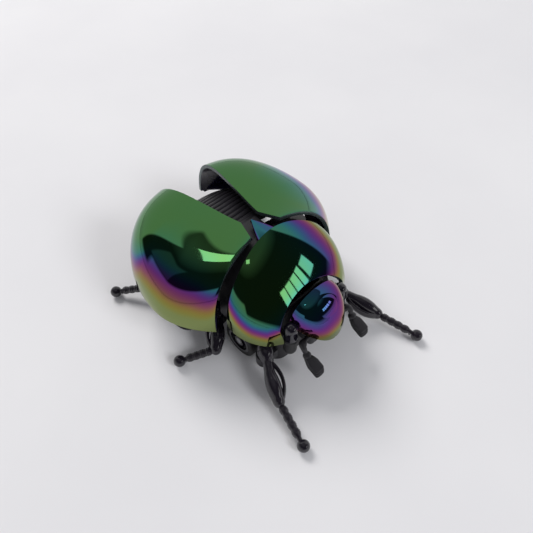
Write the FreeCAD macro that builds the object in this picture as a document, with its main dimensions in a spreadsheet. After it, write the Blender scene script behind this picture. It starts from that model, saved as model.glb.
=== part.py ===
"""Beetle robot kit: five plated shells over a black two-wheeled body with six legs and two antennae.

Millimetres. The beetle faces -Y, its left side is +X and +Z is up; it stands on Z = 0 on its tyres and
rear roller. Y = 0 of the design axes lies a little behind the wing hinges. frame_shift moves every
exported solid along Y, so that the origin ends up under the middle of the whole robot.
"""

import FreeCAD, Part
import math
import os

os.makedirs("parts", exist_ok=True)
doc = FreeCAD.newDocument("beetle")
V = FreeCAD.Vector
UP = V(0, 0, 1)

# ---------------------------------------------------------------- driving dimensions
SIZES = [
    ("frame_shift", 17.02, "moves the design axes to the middle of the footprint"),
    ("shell_wall", 1.5, "wall of the plated shells"),
    ("cover_wall", 1.6, "wall of the black covers"),
    ("shell_gap", 0.43, "half gap between the closed wing covers"),
    ("wing_half_width", 37.0, "wing cover, widest reach from the middle when closed"),
    ("wing_widest", 1.2, "station of that width"),
    ("wing_front", -16.5, "front edge of the wing cover at the top"),
    ("wing_front_sweep", 2.0, "how much further forward the front edge lies at the bottom"),
    ("wing_rear", 37.7, "rear end of the wing cover"),
    ("wing_crown", 24.6, "height of the wing cover above its edge"),
    ("wing_edge", 22.8, "height of the wing cover's lower edge"),
    ("wing_crest", -0.2, "station of the highest point of the wing cover"),
    ("wing_notch_width", 5.5, "notch for the scutellum, half width at the front"),
    ("wing_notch_length", 9.6, "notch for the scutellum, length"),
    ("wing_open", 9.9, "opening of the wing covers at rest, degrees"),
    ("hinge_side", 8.0, "wing hinge pin, distance from the middle"),
    ("hinge_station", -26.1, "wing hinge pin, station"),
    ("hinge_pin_radius", 1.25, "wing hinge pin"),
    ("running_gap", 0.05, "radial clearance of every turning fit"),
    ("arm_thick", 1.6, "wing hinge arm"),
    ("arm_width", 6.0, "wing hinge arm"),
    ("pronotum_half_width", 25.6, "pronotum, widest"),
    ("pronotum_top", 50.0, "pronotum, height of the rear edge"),
    ("pronotum_edge", 22.0, "pronotum, height of the lower edge at the rear"),
    ("pronotum_rear", -18.6, "pronotum, rear edge at the top"),
    ("pronotum_front", -37.0, "pronotum, front edge at the top"),
    ("head_half_width", 11.6, "head shell, half width at the back"),
    ("head_back", -40.2, "head shell, back edge"),
    ("head_front", -52.3, "head shell, front tip"),
    ("head_edge", 18.1, "head shell, height of the front tip"),
    ("head_crown", 17.4, "head shell, height above the front tip"),
    ("housing_half_width", 19.0, "thorax housing, half width"),
    ("housing_front", -37.0, "thorax housing, front end"),
    ("housing_rear", -6.0, "joint between thorax housing and abdomen top"),
    ("housing_top", 37.2, "thorax housing, flat top that carries the hinges"),
    ("abdomen_half_width", 30.0, "abdomen top, half width"),
    ("abdomen_inset", 6.1, "abdomen top, how far it stays in front of the wing cover's rear end"),
    ("abdomen_drop", 5.6, "abdomen top, how far its ridge stays below the wing covers"),
    ("ridge_drop", 1.6, "scutellum seat below the wing covers' crown"),
    ("collar_half_width", 22.4, "thorax collar, half width"),
    ("collar_top", 45.4, "thorax collar, height"),
    ("collar_front", -22.5, "thorax collar, front end"),
    ("collar_rear", -14.9, "thorax collar, rear end"),
    ("saddle_half_width", 4.4, "saddle between collar and abdomen top, half width"),
    ("saddle_drop", 1.2, "saddle below the collar"),
    ("scutellum_back", 1.2, "scutellum's points, distance in front of the notch's"),
    ("scutellum_thick", 1.5, "scutellum"),
    ("deck_level", 16.0, "underside of the deck plate"),
    ("deck_thick", 1.6, "deck plate"),
    ("chassis_half_width", 16.5, "belly chassis"),
    ("chassis_front", -39.0, "belly chassis, front wall"),
    ("chassis_rear", 30.0, "belly chassis, rear wall"),
    ("ground_clearance", 1.6, "underside of the belly chassis"),
    ("chassis_wall", 1.5, "belly chassis, wall"),
    ("chassis_corner", 6.0, "belly chassis and deck plate, corner radius"),
    ("chassis_floor", 1.4, "belly chassis, floor"),
    ("wheel_radius", 7.5, "tyre, outside"),
    ("rim_radius", 5.4, "wheel hub, outside"),
    ("wheel_width", 4.0, "wheel"),
    ("wheel_track", 20.0, "wheel, middle plane from the robot's middle"),
    ("axle_station", -24.0, "drive axle"),
    ("axle_radius", 1.25, "drive axle"),
    ("gear_module", 0.4, "all gears"),
    ("gear_face", 2.4, "tooth length of the gears"),
    ("gear_backlash", 0.12, "play between two meshing teeth"),
    ("gearbox_side", 4.2, "inner face of the gearbox's first plate"),
    ("gearbox_wall", 1.2, "gearbox plates"),
    ("gear_pin_radius", 0.9, "pin of the reduction gear"),
    ("motor_length", 15.0, "motor can"),
    ("motor_width", 12.0, "motor can, rounded width"),
    ("motor_height", 10.0, "motor can, across the flats"),
    ("motor_shaft_radius", 0.75, "motor shaft"),
    ("roller_radius", 4.0, "rear roller"),
    ("roller_width", 6.0, "rear roller"),
    ("roller_station", 24.5, "rear roller"),
    ("roller_pin_radius", 1.0, "rear roller's pin"),
    ("cell_radius", 5.8, "button cell"),
    ("cell_thick", 5.4, "button cell"),
    ("cell_station", 6.5, "button cells, axis"),
    ("leg_ball", 3.0, "foot ball"),
    ("leg_lift", 0.3, "gap between foot ball and ground"),
    ("femur_radius", 3.1, "femur, hip end"),
    ("knee_radius", 2.4, "femur, knee end"),
    ("joint_bulge", 0.1, "how far the balls at hip and knee stand proud of the femur"),
    ("tibia_radius", 1.5, "tibia between its beads"),
    ("bead_radius", 2.1, "tibia beads"),
    ("slot_width", 1.6, "slot through the femur"),
    ("hip_radius", 3.4, "hip boss"),
    ("hip_peg_radius", 1.5, "hip peg"),
    ("hip_top", 11.0, "top of the hip boss"),
    ("hip_out", 3.6, "hip pegs, distance outside the chassis wall"),
    ("eye_radius", 2.6, "eye and cheek"),
    ("eye_side", 13.0, "eye, distance from the middle"),
    ("eye_station", -42.6, "eye, station"),
    ("eye_split", 20.5, "joint between eye and cheek"),
    ("eye_gap", 0.4, "gap between the head shell's notch and the eye"),
    ("antenna_radius", 1.3, "antenna arm"),
    ("antenna_peg_radius", 1.0, "antenna peg in the head core"),
    ("club_radius", 2.2, "antenna club"),
    ("screw_radius", 1.0, "case screws"),
]
sheet = doc.addObject("Spreadsheet::Sheet", "Sizes")
for row, (alias, value, meaning) in enumerate(SIZES, start=1):
    sheet.set(f"A{row}", meaning)
    sheet.set(f"B{row}", str(value))
    sheet.setAlias(f"B{row}", alias)
doc.recompute()


def size(alias):
    """The number that the sheet holds for one alias."""
    return float(sheet.get(alias))


# ---------------------------------------------------------------- helpers for bound features
NODES = {}


def bound(text):
    """An expression in which every alias of the sheet is named in full."""
    words = []
    word = ""
    for letter in text + " ":
        if letter.isalnum() or letter == "_":
            word += letter
            continue
        words.append(f"Sizes.{word}" if word in ALIASES else word)
        words.append(letter)
        word = ""
    return "".join(words).strip()


ALIASES = {alias for alias, value, meaning in SIZES}


def bind(item, **sizes):
    for prop, text in sizes.items():
        item.setExpression(prop, bound(str(text)))
    return item


def place(item, x="0", y="0", z="0"):
    for axis, text in zip("xyz", (x, y, z)):
        item.setExpression(f"Placement.Base.{axis}", bound(str(text)))
    return item


def node(name, item):
    """Marks a finished object as the sub-part of that name."""
    item.Label = name
    NODES[name] = item
    return item


def box(name, lx, ly, lz, x, y, z):
    return place(bind(doc.addObject("Part::Box", name), Length=lx, Width=ly, Height=lz), x, y, z)


TURNS = {
    "x": FreeCAD.Rotation(V(0, 1, 0), 90),
    "y": FreeCAD.Rotation(V(1, 0, 0), -90),
    "z": FreeCAD.Rotation(),
}


def rod(name, axis, radius, length, x, y, z):
    """A cylinder that starts at x, y, z and runs along +X, +Y or +Z."""
    item = doc.addObject("Part::Cylinder", name)
    item.Placement = FreeCAD.Placement(V(), TURNS[axis])
    return place(bind(item, Radius=radius, Height=length), x, y, z)


def ball(name, radius, x, y, z):
    return place(bind(doc.addObject("Part::Sphere", name), Radius=radius), x, y, z)


def fuse(name, items):
    item = doc.addObject("Part::MultiFuse", name)
    item.Shapes = items
    return item


def cut(name, base, tools):
    item = doc.addObject("Part::Cut", name)
    item.Base = base
    item.Tool = tools[0] if len(tools) == 1 else fuse(name + "_tools", tools)
    return item


def taper(name, start, end, radius, end_radius):
    """A round bar from start to end with a radius of its own at each end."""
    run = end - start
    item = doc.addObject("Part::Cone", name)
    item.Height = run.Length
    bind(item, Radius1=radius, Radius2=end_radius)
    item.Placement = FreeCAD.Placement(start, FreeCAD.Rotation(UP, run))
    return item


def knob(name, point, radius):
    item = bind(doc.addObject("Part::Sphere", name), Radius=radius)
    item.Placement = FreeCAD.Placement(point, FreeCAD.Rotation())
    return item


def solid_feature(name, shape):
    item = doc.addObject("Part::Feature", name)
    item.Shape = shape
    return item


# ---------------------------------------------------------------- free-form shells
def clamp(value, low=0.0, high=1.0):
    return max(low, min(high, value))


def surface_face(rows):
    surface = Part.BSplineSurface()
    surface.interpolate(rows)
    return surface.toShape()


def shell_solid(outer, inner):
    """A closed wall between two grids of points, each one smooth face, with four narrow rim faces."""
    faces = [surface_face(outer), surface_face(inner)]
    for rows_out, rows_in in (
        (outer[0], inner[0]),
        (outer[-1], inner[-1]),
        ([row[0] for row in outer], [row[0] for row in inner]),
        ([row[-1] for row in outer], [row[-1] for row in inner]),
    ):
        faces.append(rim_face(faces, rows_out, rows_in))
    shell = Part.Shell(faces)
    shell.sewShape()
    solid = Part.Solid(shell if isinstance(shell, Part.Shell) else shell.Shells[0])
    if solid.Volume < 0:
        solid.reverse()
    return solid


def rim_face(faces, rows_out, rows_in):
    edges = []
    for face, row in zip(faces[:2], (rows_out, rows_in)):
        middle = row[len(row) // 2]
        edges.append(min(face.Edges, key=lambda edge: edge.distToShape(Part.Vertex(middle))[0]))
    return Part.makeRuledSurface(edges[0], edges[1])


def wall_grids(point, stations, angles, wall):
    """Grids of the outer surface and of the same surface moved inwards by the wall."""
    outer, inner = [], []
    step = 1e-3
    for s in stations:
        outer_row, inner_row = [], []
        for a in angles:
            here = point(s, a)
            along = point(s + step, a) - point(s - step, a)
            across = point(s, a + step) - point(s, a - step)
            normal = along.cross(across)
            normal.normalize()
            if normal.dot(here - V(here.x * 0.2, here.y, 10)) < 0:
                normal = -normal
            outer_row.append(here)
            inner_row.append(here - normal * wall)
        outer.append(outer_row)
        inner.append(inner_row)
    return outer, inner


def spread(low, high, count):
    return [low + (high - low) * k / (count - 1) for k in range(count)]


def section(width, edge, top, flatness, fullness, angle):
    """A cross-section point: a rounded arch from the outer edge (angle 0) over the top (90 degrees)."""
    cosine, sine = math.cos(angle), clamp(math.sin(angle))
    x = width * math.copysign(abs(cosine) ** flatness, cosine)
    return x, edge + (top - edge) * sine**fullness


# ---------------------------------------------------------------- wing covers
def wing_point(y, angle):
    """Left wing cover, closed: width and height fall off to the rear as rounded arcs."""
    span = size("wing_rear") - size("wing_widest")
    back = clamp((y - size("wing_widest")) / span)
    fore = clamp((size("wing_widest") - y) / 18.6, 0, 1.6)
    width = size("wing_half_width") * (1 - back**1.6) ** (1 / 2.4) - 7 * fore**2
    crest = size("wing_crest")
    crown_back = clamp((y - crest) / (size("wing_rear") - crest))
    crown_fore = clamp((crest - y) / 17.2, 0, 1.6)
    crown = size("wing_crown") * (1 - crown_back**4.7) ** (1 / 2.2) + 1.8 * crown_fore**2
    share = (y - size("wing_front") + 0.9) / (size("wing_rear") - size("wing_front") + 0.9)
    edge = size("wing_edge") - 2.8 * (1 - share) ** 2 + 2.4 * share * (1 - share)
    x, z = section(width, edge, size("wing_edge") + crown, 0.83, 0.96, angle)
    return V(x + size("shell_gap"), y, z)


def wing_surface(s, angle):
    """Station s runs from the front edge (0) to the rear end (1), closer together at the rear."""
    front = size("wing_front") - size("wing_front_sweep") * (1 - clamp(math.sin(angle)))
    return wing_point(front + (size("wing_rear") - front) * math.sin(s * math.pi / 2), angle)


def hinge_point(side):
    return V(side * size("hinge_side"), size("hinge_station"), 0)


def wing_cover(side, name):
    """A closed shell with its hinge arm, notched for the scutellum, then swung open about its pin."""
    angles = [math.radians(a) for a in (2, 6, 12, 20, 30, 42, 54, 66, 78, 86, 89.5)]
    stations = spread(0.0, 0.965, 12)
    shape = shell_solid(*wall_grids(wing_surface, stations, angles, size("shell_wall")))
    height = size("wing_edge") + size("wing_crown") + 10
    front = size("wing_front") - 3
    wide = size("wing_notch_width") * (1 + 3 / size("wing_notch_length"))
    corners = [
        V(-1, front, 0),
        V(wide, front, 0),
        V(0, size("wing_front") + size("wing_notch_length"), 0),
        V(-1, size("wing_front") + size("wing_notch_length"), 0),
    ]
    notch = Part.Face(Part.makePolygon(corners + corners[:1])).extrude(UP * height)
    shape = shape.cut(notch)
    shape = shape.fuse(wing_arm())
    shape = shape.cut(wing_bore())
    if side < 0:
        shape = shape.mirror(V(), V(1, 0, 0))
    shape.rotate(hinge_point(side), UP, -side * size("wing_open"))
    return node(name, solid_feature(name + "_shape", shape))


def arm_level():
    return size("housing_top") + 0.4


def wing_arm():
    """Flat arm from the hinge pin back to a post that meets the inside of the shell."""
    post_station = size("wing_front") + 5.3
    side, station = size("hinge_side"), size("hinge_station")
    half = size("arm_width") / 2
    arm = Part.makeBox(2 * half, post_station - station, size("arm_thick"), V(side - half, station, arm_level()))
    boss = Part.makeCylinder(half, size("arm_thick"), V(side, station, arm_level()))
    inside = wing_point(post_station - 1, math.radians(75))
    rise = inside.z - arm_level() - size("shell_wall") * 0.3
    post = Part.makeBox(2 * half - 2, 2.4, rise, V(side - half + 1, post_station - 2.4, arm_level()))
    return arm.fuse([boss, post])


def wing_bore():
    radius = size("hinge_pin_radius") + size("running_gap")
    return Part.makeCylinder(radius, 6, V(size("hinge_side"), size("hinge_station"), arm_level() - 2))


for side, hand in ((1, "left"), (-1, "right")):
    wing_cover(side, f"wing_cover_{hand}")
    pin = rod(
        f"wing_pin_{hand}_rod", "z", "hinge_pin_radius", "arm_thick + 4.9",
        f"{side} * hinge_side", "hinge_station", "housing_top - 4",
    )
    head = rod(
        f"wing_pin_{hand}_head", "z", "hinge_pin_radius + 0.9", "0.8",
        f"{side} * hinge_side", "hinge_station", "housing_top + arm_thick + 0.6",
    )
    node(f"wing_pin_{hand}", fuse(f"wing_pin_{hand}_whole", [pin, head]))


# ---------------------------------------------------------------- pronotum
def three_point(y, rear, middle, front):
    """A parabola through its values at the stations -18, -32 and -46."""
    a, b, c = -18.0, -32.0, -46.0
    return (
        rear * (y - b) * (y - c) / ((a - b) * (a - c))
        + middle * (y - a) * (y - c) / ((b - a) * (b - c))
        + front * (y - a) * (y - b) / ((c - a) * (c - b))
    )


def pronotum_point(s, angle):
    """Station s runs from the rear edge (0) to the front edge (1) that frames the head."""
    sine = clamp(math.sin(angle))
    rear = size("pronotum_rear") - 5.2 * (1 - sine**2.5)
    front = size("pronotum_front") - 5.0 * (1 - sine**1.95)
    y = rear + (front - rear) * s
    wide = size("pronotum_half_width")
    width = three_point(y, wide - 1.1, wide, wide - 12.9)
    top = three_point(y, size("pronotum_top"), size("pronotum_top") - 9.9, size("pronotum_top") - 26)
    edge = three_point(y, size("pronotum_edge"), size("pronotum_edge") - 3.3, size("pronotum_edge") - 4.2)
    x, z = section(width, edge, top, 1.04, 0.61, angle)
    return V(x, y, z)


ARCH = [math.radians(a) for a in (1, 4, 9, 17, 28, 41, 57, 74, 90, 106, 123, 139, 152, 163, 171, 176, 179)]
pronotum = shell_solid(*wall_grids(pronotum_point, spread(0, 1, 9), ARCH, size("shell_wall")))
node("pronotum_shell", solid_feature("pronotum_shape", pronotum))


# ---------------------------------------------------------------- head
def head_point(s, angle):
    """Station s runs from the back edge (0) towards the front tip (1)."""
    back, tip = size("head_back"), size("head_front")
    y = back + (tip - back) * math.sin(s * math.pi / 2)
    along = clamp((y - back - 1.3) / (tip - back - 1.3))
    width = size("head_half_width") * (1 - along**1.4) ** 0.42
    top = size("head_edge") + size("head_crown") * (1 - along**2.4) ** 0.467
    edge = size("head_edge") + 5.9 * (1 - clamp((y - back) / (tip - back)))
    x, z = section(width, edge, top, 0.94, 0.67, angle)
    return V(x, y, z)


head_arch = ARCH[1:-1]
head = shell_solid(*wall_grids(head_point, spread(0, 0.93, 9), head_arch, size("shell_wall") * 0.9))
notch_radius = size("eye_radius") + size("eye_gap")
for side in (1, -1):
    foot = V(side * size("eye_side"), size("eye_station"), 5)
    crown_level = size("eye_split") + 5.5
    head = head.cut(Part.makeCylinder(notch_radius, crown_level - 5, foot))
    head = head.cut(Part.makeSphere(notch_radius, V(foot.x, foot.y, crown_level)))
node("head_shell", solid_feature("head_shape", head))

ANTENNA_STATION, ANTENNA_LEVEL = -45.4, 17.4
core = box("head_core_block", "13", "chassis_front - head_front - 5.4", "15", "-6.5", "head_front + 5.4", "11.5")
core_fillet = doc.addObject("Part::Fillet", "head_core_rounded")
core_fillet.Base = core
doc.recompute()
core_fillet.Edges = [(k + 1, 2.0, 2.0) for k in range(len(core.Shape.Edges))]
core_bore = rod(
    "antenna_bore", "x", "antenna_peg_radius + running_gap", "16", "-8", ANTENNA_STATION, ANTENNA_LEVEL,
)
node("head_core", cut("head_core_bored", core_fillet, [core_bore]))

for side, hand in ((1, "left"), (-1, "right")):
    x = f"{side} * eye_side"
    peg_start = "6.5" if side > 0 else "-eye_side"
    eye = [
        ball(f"eye_{hand}_top", "eye_radius", x, "eye_station", "eye_split + 5.5"),
        rod(f"eye_{hand}_drum", "z", "eye_radius", "5.5", x, "eye_station", "eye_split"),
        rod(f"eye_{hand}_peg", "x", "0.8", "eye_side - 6.5", peg_start, "eye_station", "eye_split + 1"),
    ]
    node(f"eye_{hand}", fuse(f"eye_{hand}_whole", eye))
    cheek = [
        ball(f"cheek_{hand}_foot", "eye_radius", x, "eye_station", "eye_split - 6"),
        rod(f"cheek_{hand}_drum", "z", "eye_radius", "6", x, "eye_station", "eye_split - 6"),
        rod(f"cheek_{hand}_peg", "x", "1", "eye_side - 6.5", peg_start, "eye_station", "eye_split - 3"),
    ]
    node(f"cheek_{hand}", fuse(f"cheek_{hand}_whole", cheek))


# ---------------------------------------------------------------- antennae
ARM_ROOT = V(8.2, ANTENNA_STATION, ANTENNA_LEVEL)
ARM_BEND = V(12.4, -48.2, 20.4)
CLUB_ROOT = V(12.4, -50.2, 16.8)
CLUB_TIP = V(12.3, -57.2, 13.6)


def mirrored(point, side):
    return V(side * point.x, point.y, point.z)


for side, hand in ((1, "left"), (-1, "right")):
    name = f"antenna_{hand}"
    root, bend, club, tip = (mirrored(p, side) for p in (ARM_ROOT, ARM_BEND, CLUB_ROOT, CLUB_TIP))
    peg_start = "3.5" if side > 0 else "-8.2"
    pieces = [
        rod(name + "_peg", "x", "antenna_peg_radius", "4.7", peg_start, ANTENNA_STATION, ANTENNA_LEVEL),
        knob(name + "_shoulder", root, "antenna_radius"),
        taper(name + "_arm", root, bend, "antenna_radius", "antenna_radius - 0.1"),
        knob(name + "_elbow", bend, "antenna_radius"),
        taper(name + "_drop", bend, club, "antenna_radius - 0.1", "antenna_radius - 0.2"),
        taper(name + "_club", club, tip, "club_radius - 0.6", "club_radius - 0.2"),
        knob(name + "_club_root", club, "club_radius - 0.5"),
        knob(name + "_club_tip", tip, "club_radius - 0.15"),
    ]
    node(name, fuse(name + "_whole", pieces))

# ---------------------------------------------------------------- thorax housing, scutellum, abdomen
def arch_solid(point, stations, angles):
    """A closed solid under an arch: the outer surface, its two end caps and a flat base."""
    rings = []
    for s in stations:
        arc = [point(s, a) for a in angles]
        curve = Part.BSplineCurve()
        curve.interpolate(arc)
        base = Part.makeLine(arc[-1], arc[0])
        rings.append(Part.Wire([curve.toShape(), base]))
    return Part.makeLoft(rings, True, False)


def housing_point(s, angle, inset=0.0):
    front, rear = size("housing_front") + inset, size("housing_rear")
    y = rear + (front - rear) * s
    fore = clamp((-20 - y) / (-20 - size("housing_front")))
    width = size("housing_half_width") - inset - 5 * fore**2
    top = size("housing_top") - inset - 9 * clamp((-28.5 - y) / (-28.5 - size("housing_front"))) ** 1.5
    x, z = section(width, deck_top(), top, 0.45, 0.45, angle)
    return V(x, y, z)


def deck_top():
    return size("deck_level") + size("deck_thick")


BOX_ARCH = [math.radians(a) for a in (0, 8, 22, 40, 60, 90, 120, 140, 158, 172, 180)]
housing = arch_solid(housing_point, spread(0, 1, 8), BOX_ARCH)
wall = size("cover_wall")
hollow = arch_solid(lambda s, a: housing_point(s, a, wall), spread(0, 1, 8), BOX_ARCH)
housing_outside = solid_feature("housing_outside", housing.copy())
housing = housing.cut(hollow)
housing_item = solid_feature("housing_shape", housing)
bosses = [
    rod(
        f"hinge_boss_{hand}", "z", "hinge_pin_radius + 1.6", "4.6",
        f"{side} * hinge_side", "hinge_station", "housing_top - 5",
    )
    for side, hand in ((1, "left"), (-1, "right"))
]
pin_holes = [
    rod(
        f"hinge_hole_{hand}", "z", "hinge_pin_radius", "6",
        f"{side} * hinge_side", "hinge_station", "housing_top - 4",
    )
    for side, hand in ((1, "left"), (-1, "right"))
]


def scutellum_corners(reach):
    """A triangle that points backwards, a running gap inside the notch of the closed wing covers."""
    apex = size("wing_front") + size("wing_notch_length") - reach - size("scutellum_back")
    base = size("wing_front") - size("scutellum_back")
    half = size("wing_notch_width") - reach
    return [V(-half, base, 0), V(half, base, 0), V(0, apex, 0)]


def prism(corners, low, thick):
    face = Part.Face(Part.makePolygon(corners + corners[:1]))
    face.translate(UP * low)
    return face.extrude(UP * thick)


housing_body = fuse("housing_body", [housing_item] + bosses)
node("thorax_housing", cut("thorax_housing_drilled", housing_body, pin_holes))


def collar_point(s, angle, inset=0.0):
    """The collar is an arch across the housing; it fills the gap between pronotum and wing covers."""
    y = size("collar_rear") + (size("collar_front") - size("collar_rear")) * s
    width = size("collar_half_width") - inset
    x, z = section(width, deck_top(), size("collar_top") - inset, 0.8, 0.62, angle)
    return V(x, y, z)


collar_stations = spread(0, 1, 4)
collar = arch_solid(collar_point, collar_stations, BOX_ARCH)
collar = collar.cut(arch_solid(lambda s, a: collar_point(s, a, wall), collar_stations, BOX_ARCH))
saddle = box(
    "saddle", "2 * saddle_half_width", "housing_rear - collar_rear + 2",
    "collar_top - saddle_drop - housing_top + 1", "-saddle_half_width", "collar_rear - 2", "housing_top - 1",
)
ridge_top = size("wing_edge") + size("wing_crown") - size("ridge_drop")
ridge_low = size("collar_top") - 3
ridge = solid_feature("scutellum_seat", prism(scutellum_corners(1.5), ridge_low, ridge_top - ridge_low))
collar_whole = fuse("collar_whole", [solid_feature("collar_arch", collar), saddle, ridge])
node("thorax_collar", cut("collar_seated", collar_whole, [housing_outside]))
plate = prism(scutellum_corners(0.4), ridge_top, size("scutellum_thick"))
plate_item = solid_feature("scutellum_plate", plate)
node("scutellum", plate_item)


def abdomen_point(s, angle, inset=0.0):
    front = size("housing_rear")
    rear = size("wing_rear") - size("abdomen_inset") - inset
    y = front + (rear - front) * math.sin(s * math.pi / 2)
    along = clamp((y - front) / (rear - front))
    width = (size("abdomen_half_width") - inset) * (1 - along**3) ** 0.4 * (0.84 + 0.16 * math.sin(math.pi * along))
    ridge_level = size("wing_edge") + size("wing_crown") - size("abdomen_drop") - inset
    top = deck_top() + (ridge_level - deck_top()) * (1 - 0.35 * along**2.2) * (1 - along**6) ** 0.45
    x, z = section(width, deck_top(), top, 0.8, 0.75, angle)
    return V(x, y, z)


DOME_ARCH = [math.radians(a) for a in (0, 5, 13, 25, 40, 60, 90, 120, 140, 155, 167, 175, 180)]
dome_stations = spread(0, 0.94, 9)
abdomen = arch_solid(abdomen_point, dome_stations, DOME_ARCH)
hollow = arch_solid(lambda s, a: abdomen_point(s, a, wall), dome_stations, DOME_ARCH)
abdomen = abdomen.cut(hollow)
node("abdomen_top", solid_feature("abdomen_shape", abdomen))

# ---------------------------------------------------------------- deck plate
def round_corners(name, block, radius):
    """Rounds the four upright edges of a block."""
    doc.recompute()
    item = doc.addObject("Part::Fillet", name)
    item.Base = block
    upright = [
        k + 1 for k, edge in enumerate(block.Shape.Edges)
        if abs(edge.tangentAt(edge.FirstParameter).z) > 0.99
    ]
    item.Edges = [(k, radius, radius) for k in upright]
    return item


deck = box(
    "deck_blank", "2 * chassis_half_width", "chassis_rear - chassis_front", "deck_thick",
    "-chassis_half_width", "chassis_front", "deck_level",
)
motor_window = box("motor_window", "30", "29", "deck_thick + 2", "-15.2", "-32.5", "deck_level - 1")
SCREWS = [(x, y) for x in (-1, 1) for y in ("chassis_front + 3.7", "chassis_rear - 3.7")]
deck_holes = [
    rod(
        f"deck_hole_{k}", "z", "screw_radius", "deck_thick + 2",
        f"{side} * (chassis_half_width - 3.7)", station, "deck_level - 1",
    )
    for k, (side, station) in enumerate(SCREWS)
]
deck_round = round_corners("deck_round", deck, size("chassis_corner"))
node("deck_plate", cut("deck_plate_cut", deck_round, [motor_window] + deck_holes))

# ---------------------------------------------------------------- belly chassis
HIPS = {"front": -36.6, "mid": -10.0, "rear": 14.0}
half, front, rear = "chassis_half_width", "chassis_front", "chassis_rear"
depth = "deck_level - ground_clearance"
tub = box("tub", f"2 * {half}", f"{rear} - {front}", depth, f"-{half}", front, "ground_clearance")
inside = box(
    "tub_inside", f"2 * ({half} - chassis_wall)", f"{rear} - {front} - 2 * chassis_wall", depth,
    f"-{half} + chassis_wall", f"{front} + chassis_wall", "ground_clearance + chassis_floor",
)
tub_round = round_corners("tub_round", tub, size("chassis_corner"))
inside_round = round_corners("tub_inside_round", inside, size("chassis_corner") - size("chassis_wall"))
tub_open = cut("tub_open", tub_round, [inside_round])
ears_at = "roller_station - roller_radius - 1.6"
ears = box(
    "roller_ears", "roller_width + 4.4", "2 * roller_radius + 3.2", "roller_radius + 3",
    "-roller_width / 2 - 2.2", ears_at, "ground_clearance",
)
screw_posts = [
    rod(
        f"screw_post_{k}", "z", "screw_radius + 1.4", depth,
        f"{side} * ({half} - 3.7)", station, "ground_clearance",
    )
    for k, (side, station) in enumerate(SCREWS)
]
hips = []
hip_bores = []
for kind, station in HIPS.items():
    for side, hand in ((1, "left"), (-1, "right")):
        x = f"{side} * ({half} + hip_out)"
        hips.append(rod(f"hip_{kind}_{hand}", "z", "hip_radius", "4.4", x, station, "hip_top - 4.4"))
        start = f"{half} - 1" if side > 0 else f"-{half} - hip_out"
        web = box(f"hip_web_{kind}_{hand}", "hip_out + 1", "4.4", "4.4", start, station - 2.2, "hip_top - 4.4")
        hips.append(web)
        bore = "hip_peg_radius + running_gap"
        hip_bores.append(rod(f"hip_bore_{kind}_{hand}", "z", bore, "6", x, station, "hip_top - 5"))
body = fuse("chassis_body", [tub_open, ears] + screw_posts + hips)
axle_bore = rod(
    "axle_bore", "x", "axle_radius + running_gap", f"2 * {half} + 4",
    f"-{half} - 2", "axle_station", "wheel_radius",
)
roller_slot = box(
    "roller_slot", "roller_width + 0.8", "2 * roller_radius + 1.2", "2 * roller_radius + 6",
    "-roller_width / 2 - 0.4", "roller_station - roller_radius - 0.6", "-1",
)
roller_bore = rod(
    "roller_bore", "x", "roller_pin_radius", "roller_width + 6",
    "-roller_width / 2 - 3", "roller_station", "roller_radius",
)
screw_bores = []
for k, (side, station) in enumerate(SCREWS):
    x = f"{side} * ({half} - 3.7)"
    screw_bores.append(rod(f"screw_bore_{k}", "z", "screw_radius + 0.1", depth, x, station, "ground_clearance"))
    screw_bores.append(rod(f"screw_sink_{k}", "z", "screw_radius + 0.9", "2", x, station, "ground_clearance - 0.6"))
door_hole = box("door_hole", "21.4", "19.6", "6", "-10.7", "cell_station - 8", "ground_clearance - 1")
switch_hole = box("switch_hole", "2.2", "5.8", "6", "-14.1", "16.4", "ground_clearance - 1")
cuts = [axle_bore, roller_slot, roller_bore, door_hole, switch_hole] + screw_bores + hip_bores
node("belly_chassis", cut("chassis_cut", body, cuts))

screws = []
for k, (side, station) in enumerate(SCREWS):
    x = f"{side} * ({half} - 3.7)"
    shank = rod(f"screw_shank_{k}", "z", "screw_radius", f"{depth} + deck_thick - 1.4", x, station,
                "ground_clearance + 1.4")
    head_part = rod(f"screw_head_{k}", "z", "screw_radius + 0.8", "1.2", x, station, "ground_clearance + 0.2")
    screws.append(fuse(f"screw_{k}", [shank, head_part]))
compound = doc.addObject("Part::Compound", "case_screw_set")
compound.Links = screws
node("case_screws", compound)

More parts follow.
